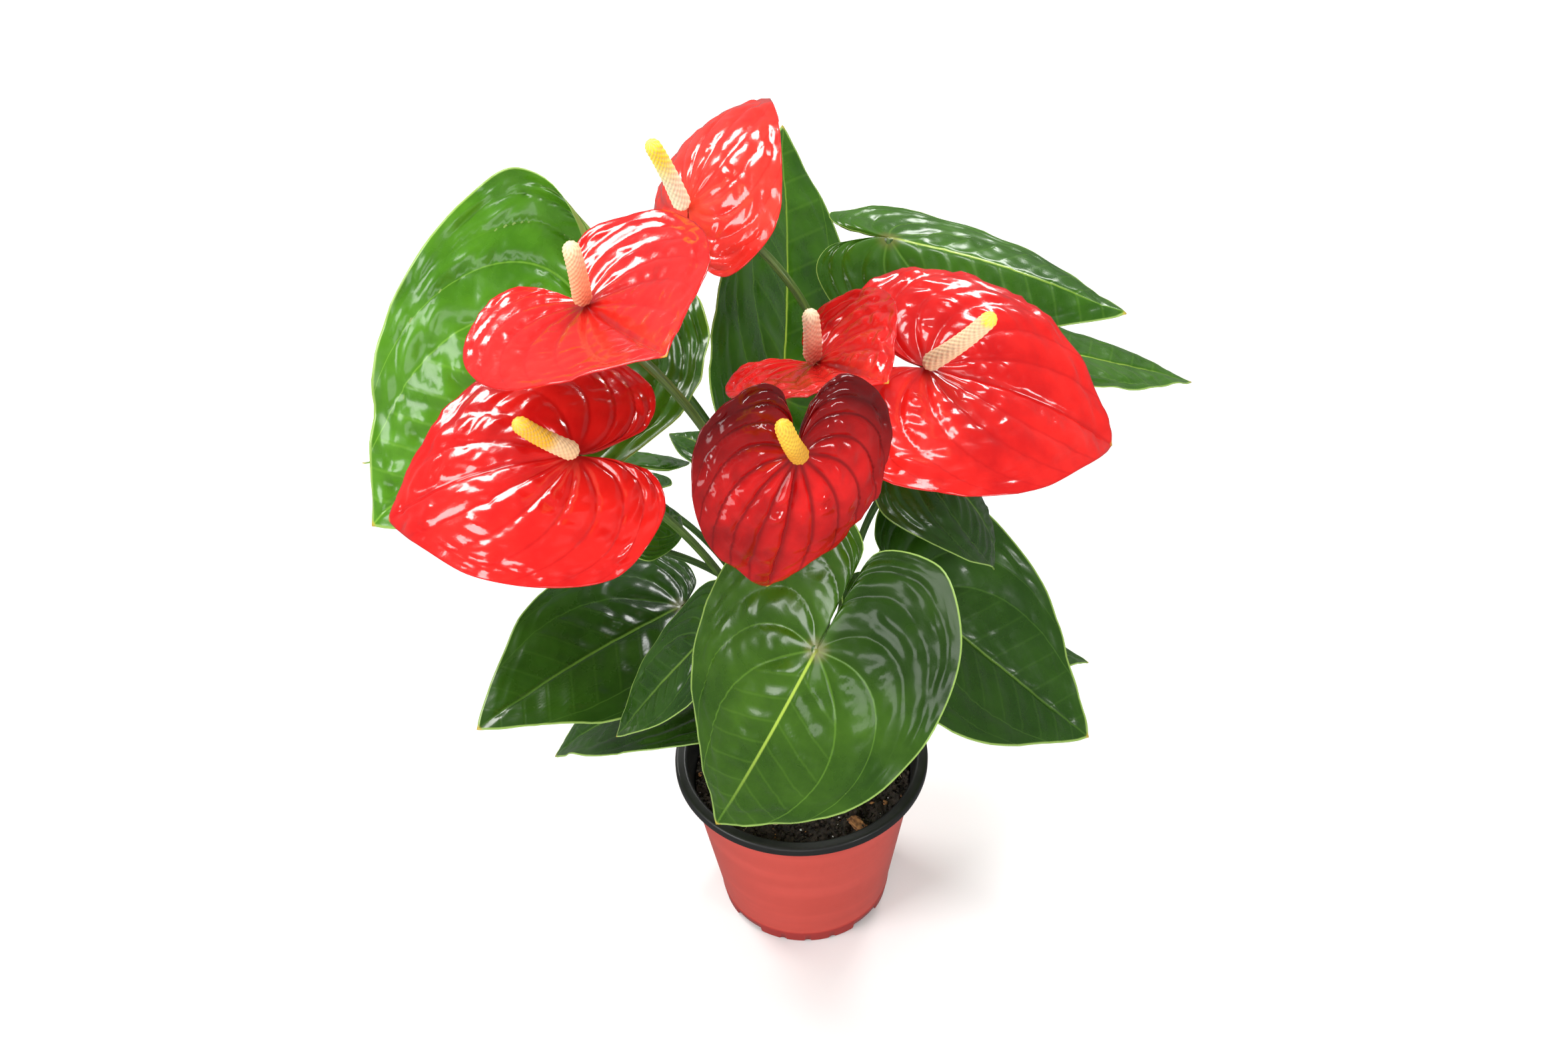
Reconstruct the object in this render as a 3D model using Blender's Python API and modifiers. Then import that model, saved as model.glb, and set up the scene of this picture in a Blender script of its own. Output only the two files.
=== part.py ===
"""A flamingo flower in its grower's pot.

A thin moulded pot holds peaty potting mix.  Leaf stems and flower stems rise from the mix, one to
each heart-shaped blade, and every flower is a heart-shaped spathe with a spadix standing on it.

Metres, +Z up.  The origin is the middle of the pot's underside and the plant's front faces -Y.
"""
import math
from dataclasses import dataclass

import bmesh
import bpy
from mathutils import Matrix, Vector

MM = 0.001
COLLECTION = "potted_anthurium"

# Driving dimensions of the pot and its filling, in millimetres.
POT_HEIGHT = 92.0
RIM_RADIUS = 60.0
RIM_WIDTH = 5.2
RIM_DEPTH = 4.4
WALL_TOP_RADIUS = 54.5
FOOT_RADIUS = 40.0
WALL = 1.0
FLOOR_RISE = 3.5
FOOT_WIDTH = 5.5
CENTRE_PAD_RADIUS = 18.0
MIX_EDGE_HEIGHT = 76.0
MIX_CROWN_HEIGHT = 81.0
MIX_CROWN_RADIUS = 22.0
MIX_CROWN_FALL = 0.8
MIX_SHOULDER_RADIUS = 40.0
MIX_SHOULDER_RISE = 1.0
GAP = 0.3

# The rim is a rolled lip: a flat top, an inner bead and a hollow behind its skirt.
LIP_ROUND = 1.3
LIP_BEAD = 0.6
LIP_SKIN = 1.5

# A narrow step runs round the wall above the foot.
STEP_TOP = 8.0
STEP_BOTTOM = 7.0
STEP_OUT = 0.5
FOOT_CHAMFER = 0.4
FOOT_DRAFT = 1.0
PAD_DRAFT = 2.0

# The foot is one ring with notches between its four stands, and drain slots through each stand.
FOOT_STANDS = 4
NOTCH_ANGLE = math.radians(22.0)
NOTCH_HEIGHT = 3.2
DRAIN_RADIUS = 1.8
DRAIN_SPREAD = math.radians(17.0)
FLOOR_HOLES = 8
FLOOR_HOLE_RADIUS = 3.0
FLOOR_HOLE_RING = 26.0

# Blades are a thin sheet, laid out as rays from the stem's end to the margin.
LEAF_THICKNESS = 0.9
SPATHE_THICKNESS = 1.1
RAYS_PER_HALF = 11
RINGS = 5

LEAF_STEM_RADIUS = 1.5
FLOWER_STEM_RADIUS = 1.7
STEM_POINTS = 12
STEM_CLEARANCE = 1.0
STEM_START_GAP = 5.0 * GAP
STEM_SWELL = 0.25
KNEE_LENGTH = 9.0
# How a stem arrives at its knee: shares of the blade's normal, the way outwards and straight up.
ARRIVE_FACE = 0.45
ARRIVE_OUTWARD = 0.75
ARRIVE_UP = 0.45
ARRIVE_PULL = 0.6
ROOT_SPACING = 4.6
GOLDEN_ANGLE = math.pi * (3.0 - math.sqrt(5.0))

SPADIX_POINTS = 9
SPADIX_SWAY = 0.03
SPADIX_FOOT_TILT = 0.6
SPADIX_GAP = 3.0 * GAP
SPADIX_BASE_RADIUS = 3.6
SPADIX_END_RADIUS = 3.0


@dataclass(frozen=True)
class Blade:
    """One heart-shaped blade: where its stem meets it, how it is turned and how it is bent.

    Lengths are millimetres and angles are degrees.  The heading is the midrib's turn from +X, the
    pitch its rise, and the roll the blade's turn about it.  Width and lobe are the half width and
    the reach behind the stem, as shares of the length.  Each half (left, right) leaves the midrib
    at its fold angle and gains its cup angle over half a length.  Droop bends the front down over
    one length, and lift raises the lobes.  The stem bows sideways by (x, y) at half its height.
    Notch narrows the gap between the lobes below 1.
    """

    name: str
    joint: tuple
    heading: float
    pitch: float
    roll: float
    length: float
    width: float
    lobe: float
    fold: tuple
    cup: tuple
    droop: float
    lift: float
    bow: tuple
    notch: float = 1.0


@dataclass(frozen=True)
class Spadix:
    """The column on a spathe: length in mm, its lean from the face towards the tip and to the left."""

    length: float
    lean: float
    side: float


SPATHES = (
    (Blade("top", (-37, 36, 372), 90, 46, -46, 74, 0.59, 0.41, (-3, 0), (-30, -24), 85, 3, (24, -12)),
     Spadix(46, 24, -33)),
    (Blade("left_upper", (-73, -40, 379), -62, 12, 18, 81, 0.61, 0.43, (15, 16), (-12, -18), -15, 24,
           (18, -24)),
     Spadix(46, 39, 1)),
    (Blade("left_lower", (-79, -75, 337), -174, 3, -18, 83, 0.61, 0.38, (3, 8), (-22, -22), 54, 16, (6, 6)),
     Spadix(45, 27, 17)),
    (Blade("front", (2, -99, 354), -106, -71, -40, 62, 0.63, 0.46, (6, 6), (-17, -14), 33, 19, (6, 0)),
     Spadix(38, -44, -40)),
    (Blade("middle", (11, -25, 338), -64, 27, 18, 62, 0.60, 0.42, (23, 21), (-9, -9), 2, 36, (0, 0)),
     Spadix(38, 50, -2)),
    (Blade("right", (53, -26, 335), -10, -7, 20, 87, 0.64, 0.36, (15, 14), (-38, -16), 46, 17, (-12, 0)),
     Spadix(48, 26, -3)),
)

LEAVES = (
    Blade("left_tall", (-78, 11, 341), -155, -31, -32, 129, 0.51, 0.29, (10, 8), (18, 11), 19, 5,
          (18, -12)),
    Blade("back_tall", (-3, 34, 277), 82, 37, 58, 128, 0.43, 0.31, (7, 7), (-2, 2), 12, 17, (12, 0)),
    Blade("right_tall", (44, 60, 339), -12, -6, -12, 104, 0.37, 0.27, (0, -48), (-6, -26), 18, -6,
          (6, -12)),
    Blade("right_back", (92, 59, 287), 16, -26, -6, 108, 0.31, 0.25, (3, 3), (-12, -12), 0, 17, (0, 0)),
    Blade("right_middle", (52, -4, 272), -4, -33, 3, 75, 0.46, 0.30, (0, 0), (-31, -35), 56, 20, (0, 0)),
    Blade("right_low", (50, -4, 196), -12, -43, 19, 114, 0.47, 0.30, (10, 11), (6, 2), 0, 17, (0, 0)),
    Blade("right_under", (75, 20, 143), 10, -16, -14, 70, 0.42, 0.30, (4, 5), (-10, -10), 13, 17, (0, 0)),
    Blade("front_low", (7, -102, 260), -144, -55, -43, 105, 0.51, 0.51, (5, -32), (1, -4), 36, 5, (0, 0),
          0.35),
    Blade("left_low", (-53, 19, 171), -139, 9, -10, 112, 0.43, 0.18, (5, 4), (-11, -11), 20, 17, (0, 18)),
    Blade("left_folded", (-37, -55, 224), -178, -50, -12, 72, 0.32, 0.30, (6, 5), (-10, -9), 8, 17,
          (0, 0)),
    Blade("left_under", (-37, -14, 152), 173, -13, 5, 95, 0.42, 0.25, (9, 9), (-13, -11), 39, 17, (0, 0)),
    Blade("left_back", (-81, 26, 250), 168, 4, 26, 110, 0.40, 0.31, (3, 2), (-14, -15), 16, 19, (18, 24)),
    Blade("young_back", (-25, 20, 250), 125, 6, 12, 48, 0.35, 0.25, (10, 9), (-5, -6), 33, 17, (0, 6)),
    Blade("young_left", (-67, -19, 250), 51, -14, 30, 39, 0.39, 0.30, (11, 9), (-11, -11), 23, 17,
          (24, 12)),
)

# Chips of bark on the potting mix: size, then angle round the pot, distance out, turn and tilt.
CHIPS = (
    ("bark_chip_left", (9.0, 6.0, 2.4), (math.radians(215.0), 42.0, 0.6, 0.12)),
    ("bark_chip_right", (11.0, 6.0, 2.6), (math.radians(305.0), 43.0, 2.1, 0.1)),
)
CHIP_LIFT = 5.0 * GAP
CHIP_EDGE = 0.6

# The stems' places in the spiral, from the middle outwards.
ROOT_ORDER = (
    "leaf left_under", "leaf young_back", "leaf left_folded", "leaf right_low", "leaf young_left",
    "flower middle", "leaf back_tall", "flower left_lower", "leaf right_under", "leaf left_tall",
    "leaf front_low", "leaf right_tall", "flower left_upper", "leaf right_middle", "leaf left_low",
    "flower front", "leaf right_back", "leaf left_back", "flower right", "flower top",
)

# Half of a blade's margin from the tip to the notch: shares of the length, half width and lobe.
MARGIN_FRONT = ((1.0, 0.0), (0.94, 0.13), (0.80, 0.37), (0.55, 0.76), (0.25, 0.97), (-0.05, 1.0))
MARGIN_LOBE = ((0.60, 0.86), (0.98, 0.50))
MARGIN_NOTCH = ((0.86, 0.20), (0.40, 0.055))
NOTCH_END = (-0.03, 0.01)

POT_RED = (0.52, 0.08, 0.06)
PEAT = (0.018, 0.012, 0.009)
BARK = (0.30, 0.12, 0.045)
LEAF_GREEN = (0.045, 0.15, 0.02)
STEM_GREEN = (0.05, 0.12, 0.025)
SPATHE_RED = (0.72, 0.02, 0.015)
SPADIX_CREAM = (0.85, 0.62, 0.24)


def clear_scene():
    """Remove everything that the file already holds."""
    for obj in list(bpy.data.objects):
        bpy.data.objects.remove(obj, do_unlink=True)
    for old in list(bpy.data.collections):
        bpy.data.collections.remove(old)


def new_collection(name):
    """Add a collection to the scene."""
    collection = bpy.data.collections.new(name)
    bpy.context.scene.collection.children.link(collection)
    return collection


def make_material(name, colour, roughness, metallic=0.0):
    """Make a plain Principled material."""
    material = bpy.data.materials.new(name)
    material.use_nodes = True
    shader = material.node_tree.nodes["Principled BSDF"]
    shader.inputs["Base Color"].default_value = (*colour, 1.0)
    shader.inputs["Roughness"].default_value = roughness
    shader.inputs["Metallic"].default_value = metallic
    material.diffuse_color = (*colour, 1.0)
    return material


def add_object(name, data, collection, material=None, parent=None):
    """Link mesh or curve data as a named object."""
    obj = bpy.data.objects.new(name, data)
    collection.objects.link(obj)
    obj.parent = parent
    if material:
        data.materials.append(material)
    return obj


def add_boolean(obj, cutter):
    """Cut one object with another."""
    cutter.hide_render = True
    cutter.display_type = "WIRE"
    cut = obj.modifiers.new(cutter.name, "BOOLEAN")
    cut.operation = "DIFFERENCE"
    cut.solver = "EXACT"
    cut.object = cutter


def turned(name, profile, steps, collection, material, parent):
    """Turn a profile of (radius, height) points in mm about Z; it runs down its outer side."""
    mesh = bpy.data.meshes.new(name)
    shape = bmesh.new()
    corners = [shape.verts.new((radius * MM, 0.0, height * MM)) for radius, height in profile]
    for first, second in zip(corners, corners[1:]):
        shape.edges.new((first, second))
    shape.to_mesh(mesh)
    shape.free()
    obj = add_object(name, mesh, collection, material, parent)
    screw = obj.modifiers.new("turn", "SCREW")
    screw.steps = steps
    screw.render_steps = steps
    screw.use_merge_vertices = True
    screw.merge_threshold = 0.00001
    screw.use_smooth_shade = True
    return obj


def wall_radius(height):
    """Outer radius of the tapered wall at a height, both in mm."""
    share = height / (POT_HEIGHT - RIM_DEPTH)
    return FOOT_RADIUS + (WALL_TOP_RADIUS - FOOT_RADIUS) * share


def pot_profile():
    """The pot's section: up the inside from the floor's middle, over the rim, down and under."""
    under_rim = POT_HEIGHT - RIM_DEPTH
    floor_top = FLOOR_RISE + WALL
    rim_inner = RIM_RADIUS - RIM_WIDTH
    inside = [
        (0.0, floor_top),
        (wall_radius(floor_top) - WALL, floor_top),
        (wall_radius(under_rim) - WALL, under_rim),
    ]
    rim = [
        (rim_inner - LIP_BEAD, POT_HEIGHT - 2.0 * LIP_BEAD),
        (rim_inner + LIP_BEAD, POT_HEIGHT),
        (RIM_RADIUS - LIP_ROUND, POT_HEIGHT),
        (RIM_RADIUS, POT_HEIGHT - LIP_ROUND),
        (RIM_RADIUS, under_rim),
        (RIM_RADIUS - WALL, under_rim),
        (RIM_RADIUS - WALL, POT_HEIGHT - LIP_SKIN),
        (rim_inner + LIP_ROUND, POT_HEIGHT - LIP_SKIN),
    ]
    outside = [
        (WALL_TOP_RADIUS, under_rim - WALL),
        (wall_radius(STEP_TOP), STEP_TOP),
        (wall_radius(STEP_BOTTOM) + STEP_OUT, STEP_BOTTOM),
        (FOOT_RADIUS + STEP_OUT, FOOT_CHAMFER),
        (FOOT_RADIUS, 0.0),
    ]
    underside = [
        (FOOT_RADIUS - FOOT_WIDTH, 0.0),
        (FOOT_RADIUS - FOOT_WIDTH - FOOT_DRAFT, FLOOR_RISE),
        (CENTRE_PAD_RADIUS + PAD_DRAFT, FLOOR_RISE),
        (CENTRE_PAD_RADIUS, 0.0),
        (0.0, 0.0),
    ]
    return inside + rim + outside + underside


def box_into(shape, size, place):
    """Add a box of a size, placed by a matrix, to a bmesh."""
    made = bmesh.ops.create_cube(shape, size=1.0)
    bmesh.ops.transform(shape, matrix=place @ Matrix.Diagonal((*size, 1.0)), verts=made["verts"])


def peg_into(shape, radius, length, place):
    """Add a round peg along its own Z, placed by a matrix, to a bmesh."""
    bmesh.ops.create_cone(
        shape, cap_ends=True, segments=12, radius1=radius, radius2=radius, depth=length, matrix=place
    )


def make_pot(collection, cutters, material, parent):
    """The thin moulded pot with its notched foot, drain slots and floor holes."""
    pot = turned("grow_pot", pot_profile(), 40, collection, material, parent)
    notches = bmesh.new()
    slots = bmesh.new()
    pitch = math.tau / FOOT_STANDS
    notch_size = (
        FOOT_WIDTH * 3.0 * MM, 2.0 * FOOT_RADIUS * math.sin(NOTCH_ANGLE / 2.0) * MM, 2.0 * NOTCH_HEIGHT * MM
    )
    reach = Matrix.Translation((FOOT_RADIUS * MM, 0.0, 0.0))
    for stand in range(FOOT_STANDS):
        middle = -math.pi / 2.0 + stand * pitch
        box_into(notches, notch_size, Matrix.Rotation(middle + pitch / 2.0, 4, "Z") @ reach)
        for side in (-1, 0, 1):
            turn = Matrix.Rotation(middle + side * DRAIN_SPREAD, 4, "Z")
            along_radius = Matrix.Rotation(math.pi / 2.0, 4, "Y")
            peg_into(slots, DRAIN_RADIUS * MM, FOOT_WIDTH * 3.0 * MM, turn @ reach @ along_radius)
    for hole in range(FLOOR_HOLES):
        turn = Matrix.Rotation((hole + 0.5) * math.tau / FLOOR_HOLES, 4, "Z")
        out = Matrix.Translation((FLOOR_HOLE_RING * MM, 0.0, FLOOR_RISE * MM))
        peg_into(slots, FLOOR_HOLE_RADIUS * MM, 4.0 * WALL * MM, turn @ out)
    for name, shape in (("foot_notches", notches), ("drain_holes", slots)):
        mesh = bpy.data.meshes.new(name)
        shape.to_mesh(mesh)
        shape.free()
        add_boolean(pot, add_object(name, mesh, cutters, parent=parent))
    return pot


def make_mix(collection, material, parent):
    """The potting mix: it fills the pot and mounds a little towards the stems."""
    floor = FLOOR_RISE + WALL + GAP
    play = WALL + 2.0 * GAP
    profile = [
        (0.0, MIX_CROWN_HEIGHT),
        (MIX_CROWN_RADIUS, MIX_CROWN_HEIGHT - MIX_CROWN_FALL),
        (MIX_SHOULDER_RADIUS, MIX_EDGE_HEIGHT + MIX_SHOULDER_RISE),
        (wall_radius(MIX_EDGE_HEIGHT) - play, MIX_EDGE_HEIGHT),
        (wall_radius(floor) - play, floor),
        (0.0, floor),
    ]
    return turned("potting_mix", profile, 28, collection, material, parent)


def mix_height(radius):
    """Height of the potting mix at a distance from the middle, in mm."""
    crown = MIX_CROWN_HEIGHT - MIX_CROWN_FALL
    if radius < MIX_CROWN_RADIUS:
        return MIX_CROWN_HEIGHT - MIX_CROWN_FALL * radius / MIX_CROWN_RADIUS
    share = (radius - MIX_CROWN_RADIUS) / (MIX_SHOULDER_RADIUS - MIX_CROWN_RADIUS)
    return crown + (MIX_EDGE_HEIGHT + MIX_SHOULDER_RISE - crown) * min(share, 1.0)


def catmull_rom(points, count):
    """Points evenly along a smooth curve through the given ones."""
    first = [2.0 * a - b for a, b in zip(points[0], points[1])]
    last = [2.0 * a - b for a, b in zip(points[-1], points[-2])]
    chain = [Vector(p) for p in (first, *points, last)]
    spans = len(points) - 1
    result = []
    for index in range(count):
        place = spans * index / (count - 1)
        span = min(int(place), spans - 1)
        t = place - span
        a, b, c, d = chain[span:span + 4]
        curve = 2.0 * b + (c - a) * t + (2.0 * a - 5.0 * b + 4.0 * c - d) * t * t
        result.append(0.5 * (curve + (3.0 * b - a - 3.0 * c + d) * t ** 3))
    return result


def margin(blade):
    """The flat margin as (forward, left) shares of the length, from notch round to notch."""
    front = [(forward, out * blade.width) for forward, out in MARGIN_FRONT]
    lobe = [(-back * blade.lobe, out * blade.width) for back, out in MARGIN_LOBE]
    lobe += [(-back * blade.lobe, out * blade.width * blade.notch) for back, out in MARGIN_NOTCH]
    end = (NOTCH_END[0], NOTCH_END[1] * blade.width)
    half = catmull_rom(front + lobe + [end], RAYS_PER_HALF)
    right = [(point.x, -point.y) for point in half]
    return [(point.x, point.y) for point in reversed(half)] + right[1:]


def arc(distance, start, bend):
    """Run and rise after a distance along an arc that starts at an angle and bends steadily."""
    if abs(bend) < 1e-6:
        return distance * math.cos(start), distance * math.sin(start)
    end = start + bend * distance
    return (math.sin(end) - math.sin(start)) / bend, (math.cos(start) - math.cos(end)) / bend


def bent(blade, forward, left):
    """Bend a point of the flat blade into its true shape, in metres in the blade's own axes."""
    length = blade.length * MM
    side = 0 if left >= 0.0 else 1
    cup = math.radians(blade.cup[side]) / (0.5 * length)
    across, rise = arc(abs(left) * length, math.radians(blade.fold[side]), cup)
    along = forward * length
    bend = math.radians(-blade.droop if along >= 0.0 else blade.lift) / length
    run, height = arc(abs(along), 0.0, bend)
    slope = bend * along if along >= 0.0 else -bend * abs(along)
    x = math.copysign(run, along) - rise * math.sin(slope)
    return Vector((x, math.copysign(across, left), height + rise * math.cos(slope)))


def blade_turn(blade):
    """The blade's own axes: X along the midrib, Y to its left and Z out of its upper face."""
    heading, pitch, roll = (math.radians(angle) for angle in (blade.heading, blade.pitch, blade.roll))
    return (
        Matrix.Rotation(heading, 3, "Z") @ Matrix.Rotation(-pitch, 3, "Y") @ Matrix.Rotation(roll, 3, "X")
    )


def make_blade(name, blade, thickness, collection, material, parent):
    """A blade: a flat grid laid out as rays from the stem to the margin, bent and given thickness."""
    rays = margin(blade)
    shape = bmesh.new()
    bmesh.ops.create_grid(shape, x_segments=len(rays) - 1, y_segments=RINGS, size=1.0)
    for vert in shape.verts:
        ray = rays[round((vert.co.x + 1.0) / 2.0 * (len(rays) - 1))]
        reach = (vert.co.y + 1.0) / 2.0
        vert.co = bent(blade, ray[0] * reach, ray[1] * reach)
    bmesh.ops.remove_doubles(shape, verts=shape.verts, dist=0.00001)
    mesh = bpy.data.meshes.new(name)
    shape.to_mesh(mesh)
    shape.free()
    mesh.shade_smooth()
    obj = add_object(name, mesh, collection, material, parent)
    obj.location = Vector(blade.joint) * MM
    obj.rotation_euler = blade_turn(blade).to_euler()
    sheet = obj.modifiers.new("thickness", "SOLIDIFY")
    sheet.thickness = thickness * MM
    sheet.offset = 0.0
    return obj


def make_tube(name, points, radii, collection, material, parent):
    """A round tube along points given from the first one, with a radius at each of them."""
    curve = bpy.data.curves.new(name, "CURVE")
    curve.dimensions = "3D"
    curve.bevel_depth = MM
    curve.bevel_resolution = 2
    curve.use_fill_caps = True
    line = curve.splines.new("POLY")
    line.points.add(len(points) - 1)
    for knot, point, radius in zip(line.points, points, radii):
        knot.co = (*(point - points[0]), 1.0)
        knot.radius = radius
    obj = add_object(name, curve, collection, material, parent)
    obj.location = points[0]
    return obj


def root_place(order):
    """Where a stem leaves the potting mix: the stems stand in a sunflower spiral."""
    distance = ROOT_SPACING * math.sqrt(order + 0.5)
    return distance, order * GOLDEN_ANGLE


def stem_route(blade, order):
    """A smooth route from the potting mix to a short knee that meets the blade square from below."""
    distance, turn = root_place(order)
    foot = mix_height(distance) + STEM_START_GAP
    start = Vector((distance * math.cos(turn), distance * math.sin(turn), foot))
    joint = Vector(blade.joint)
    face = blade_turn(blade) @ Vector((0.0, 0.0, 1.0))
    knee = joint - face * KNEE_LENGTH
    chord = knee - start
    outward = Vector((chord.x, chord.y, 0.0)).normalized()
    leave = Vector((0.0, 0.0, chord.length))
    arrive = face * ARRIVE_FACE + outward * ARRIVE_OUTWARD + Vector((0.0, 0.0, ARRIVE_UP))
    arrive = arrive.normalized() * chord.length * ARRIVE_PULL
    bow = Vector((*blade.bow, 0.0))
    route = []
    for index in range(STEM_POINTS):
        t = index / (STEM_POINTS - 1)
        point = start.lerp(knee, t * t * (3.0 - 2.0 * t)) + bow * (4.0 * t * (1.0 - t))
        route.append(point + leave * (t * (1.0 - t) ** 2) - arrive * (t * t * (1.0 - t)))
    dip = math.radians(max(0.0, -min(blade.fold)))
    clear = STEM_CLEARANCE + 1.5 * FLOWER_STEM_RADIUS * math.tan(dip)
    route += [joint - face * (KNEE_LENGTH / 2.0), joint - face * clear]
    return [point * MM for point in route]


def make_stem(name, blade, order, radius, collection, material, parent):
    """A stem, a little thicker where it leaves the potting mix and where it meets the blade."""
    route = stem_route(blade, order)
    places = [2.0 * index / (len(route) - 1) - 1.0 for index in range(len(route))]
    radii = [radius * (1.0 + STEM_SWELL * abs(place) ** 3) for place in places]
    return make_tube(name, route, radii, collection, material, parent)


def make_spadix(name, blade, spadix, collection, material, parent):
    """A slightly curved column with a rounded end, standing on its spathe at the stem."""
    lean, side = math.radians(spadix.lean), math.radians(spadix.side)
    way = Vector((math.tan(lean), math.tan(side), 1.0)).normalized()
    tilt = SPADIX_FOOT_TILT * SPADIX_BASE_RADIUS * math.sqrt(1.0 - way.z ** 2)
    seat = SPATHE_THICKNESS / 2.0 + SPADIX_GAP + tilt
    start = Vector((0.0, 0.0, seat))
    points = []
    radii = []
    for index in range(SPADIX_POINTS):
        t = 1.0 - (1.0 - index / (SPADIX_POINTS - 1)) ** 1.6
        sway = math.sin(math.pi * t) * spadix.length * SPADIX_SWAY
        points.append(start + way * spadix.length * t + Vector((sway, 0.0, 0.0)))
        full = SPADIX_BASE_RADIUS + (SPADIX_END_RADIUS - SPADIX_BASE_RADIUS) * t
        tip = max(1.0 - t, 0.0) * spadix.length / SPADIX_END_RADIUS
        base = t * spadix.length / SPADIX_BASE_RADIUS + 0.6
        radii.append(full * min(1.0, math.sqrt(min(1.0, tip)) * 0.9 + 0.1) * min(1.0, base))
    turn = blade_turn(blade)
    world = [turn @ (point * MM) + Vector(blade.joint) * MM for point in points]
    return make_tube(name, world, radii, collection, material, parent)


def make_chip(name, size, place, collection, material, parent):
    """A chip of bark lying on the potting mix."""
    mesh = bpy.data.meshes.new(name)
    shape = bmesh.new()
    box_into(shape, [side * MM for side in size], Matrix.Identity(4))
    shape.to_mesh(mesh)
    shape.free()
    obj = add_object(name, mesh, collection, material, parent)
    angle, distance, turn, tilt = place
    height = mix_height(distance - size[0] / 2.0) + size[2] / 2.0 + CHIP_LIFT
    obj.location = Vector((distance * math.cos(angle), distance * math.sin(angle), height)) * MM
    obj.rotation_euler = (0.0, tilt, turn)
    edge = obj.modifiers.new("worn_edges", "BEVEL")
    edge.width = CHIP_EDGE * MM
    edge.segments = 1
    return obj


def build():
    """Build the whole plant in its pot."""
    clear_scene()
    parts = new_collection(COLLECTION)
    cutters = new_collection("cutters")
    stand = add_object("plant_stand", None, parts)
    pot_red = make_material("pot_red", POT_RED, 0.35)
    peat = make_material("peat", PEAT, 0.95)
    bark = make_material("bark", BARK, 0.8)
    leaf_green = make_material("leaf_green", LEAF_GREEN, 0.25)
    stem_green = make_material("stem_green", STEM_GREEN, 0.35)
    spathe_red = make_material("spathe_red", SPATHE_RED, 0.12)
    cream = make_material("spadix_cream", SPADIX_CREAM, 0.5)

    make_pot(parts, cutters, pot_red, stand)
    make_mix(parts, peat, stand)
    for name, size, place in CHIPS:
        make_chip(name, size, place, parts, bark, stand)
    for blade, spadix in SPATHES:
        make_blade("spathe_" + blade.name, blade, SPATHE_THICKNESS, parts, spathe_red, stand)
        make_spadix("spadix_" + blade.name, blade, spadix, parts, cream, stand)
        make_stem("flower_stem_" + blade.name, blade, ROOT_ORDER.index("flower " + blade.name),
                  FLOWER_STEM_RADIUS, parts, stem_green, stand)
    for blade in LEAVES:
        make_blade("leaf_" + blade.name, blade, LEAF_THICKNESS, parts, leaf_green, stand)
        make_stem("leaf_stem_" + blade.name, blade, ROOT_ORDER.index("leaf " + blade.name),
                  LEAF_STEM_RADIUS, parts, stem_green, stand)


build()
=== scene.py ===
"""A flamingo flower in its grower's pot: the fine surfaces, finishes, studio and camera.

Metres, +Z up, the pot's underside at the origin and the plant's front towards -Y.  Every piece of
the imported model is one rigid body, "root", and each fine piece replaces the plain solid in its place.
"""

import logging
import math
from dataclasses import dataclass, field
from enum import Enum

import bpy
import numpy as np
from mathutils import Matrix, Vector


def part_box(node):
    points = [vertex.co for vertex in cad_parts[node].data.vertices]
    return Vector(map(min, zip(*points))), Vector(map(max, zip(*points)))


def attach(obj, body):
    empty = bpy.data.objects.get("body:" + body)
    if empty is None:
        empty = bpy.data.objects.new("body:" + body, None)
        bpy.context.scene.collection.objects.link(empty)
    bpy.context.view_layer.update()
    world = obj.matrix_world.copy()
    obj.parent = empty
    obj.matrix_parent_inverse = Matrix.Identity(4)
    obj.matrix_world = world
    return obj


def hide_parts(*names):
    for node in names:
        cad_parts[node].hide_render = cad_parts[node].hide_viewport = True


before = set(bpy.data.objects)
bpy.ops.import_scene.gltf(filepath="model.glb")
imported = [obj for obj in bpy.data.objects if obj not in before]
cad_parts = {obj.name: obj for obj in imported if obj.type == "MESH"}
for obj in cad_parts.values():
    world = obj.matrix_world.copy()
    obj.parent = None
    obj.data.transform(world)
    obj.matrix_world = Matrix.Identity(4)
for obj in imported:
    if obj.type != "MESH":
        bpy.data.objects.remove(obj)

MM = 0.001
BODY = "root"
LOG = logging.getLogger("anthurium")

GOLDEN_ANGLE = math.pi * (3.0 - math.sqrt(5.0))
Colour = tuple[float, float, float]
TIP_TINT: Colour = (0.55, 0.34, 0.03)
FOOT_BAND = 0.0076  # height in metres up to which the pot's outside is darker at the foot


# ---------------------------------------------------------------------------------------------
# Shader building
# ---------------------------------------------------------------------------------------------


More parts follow.
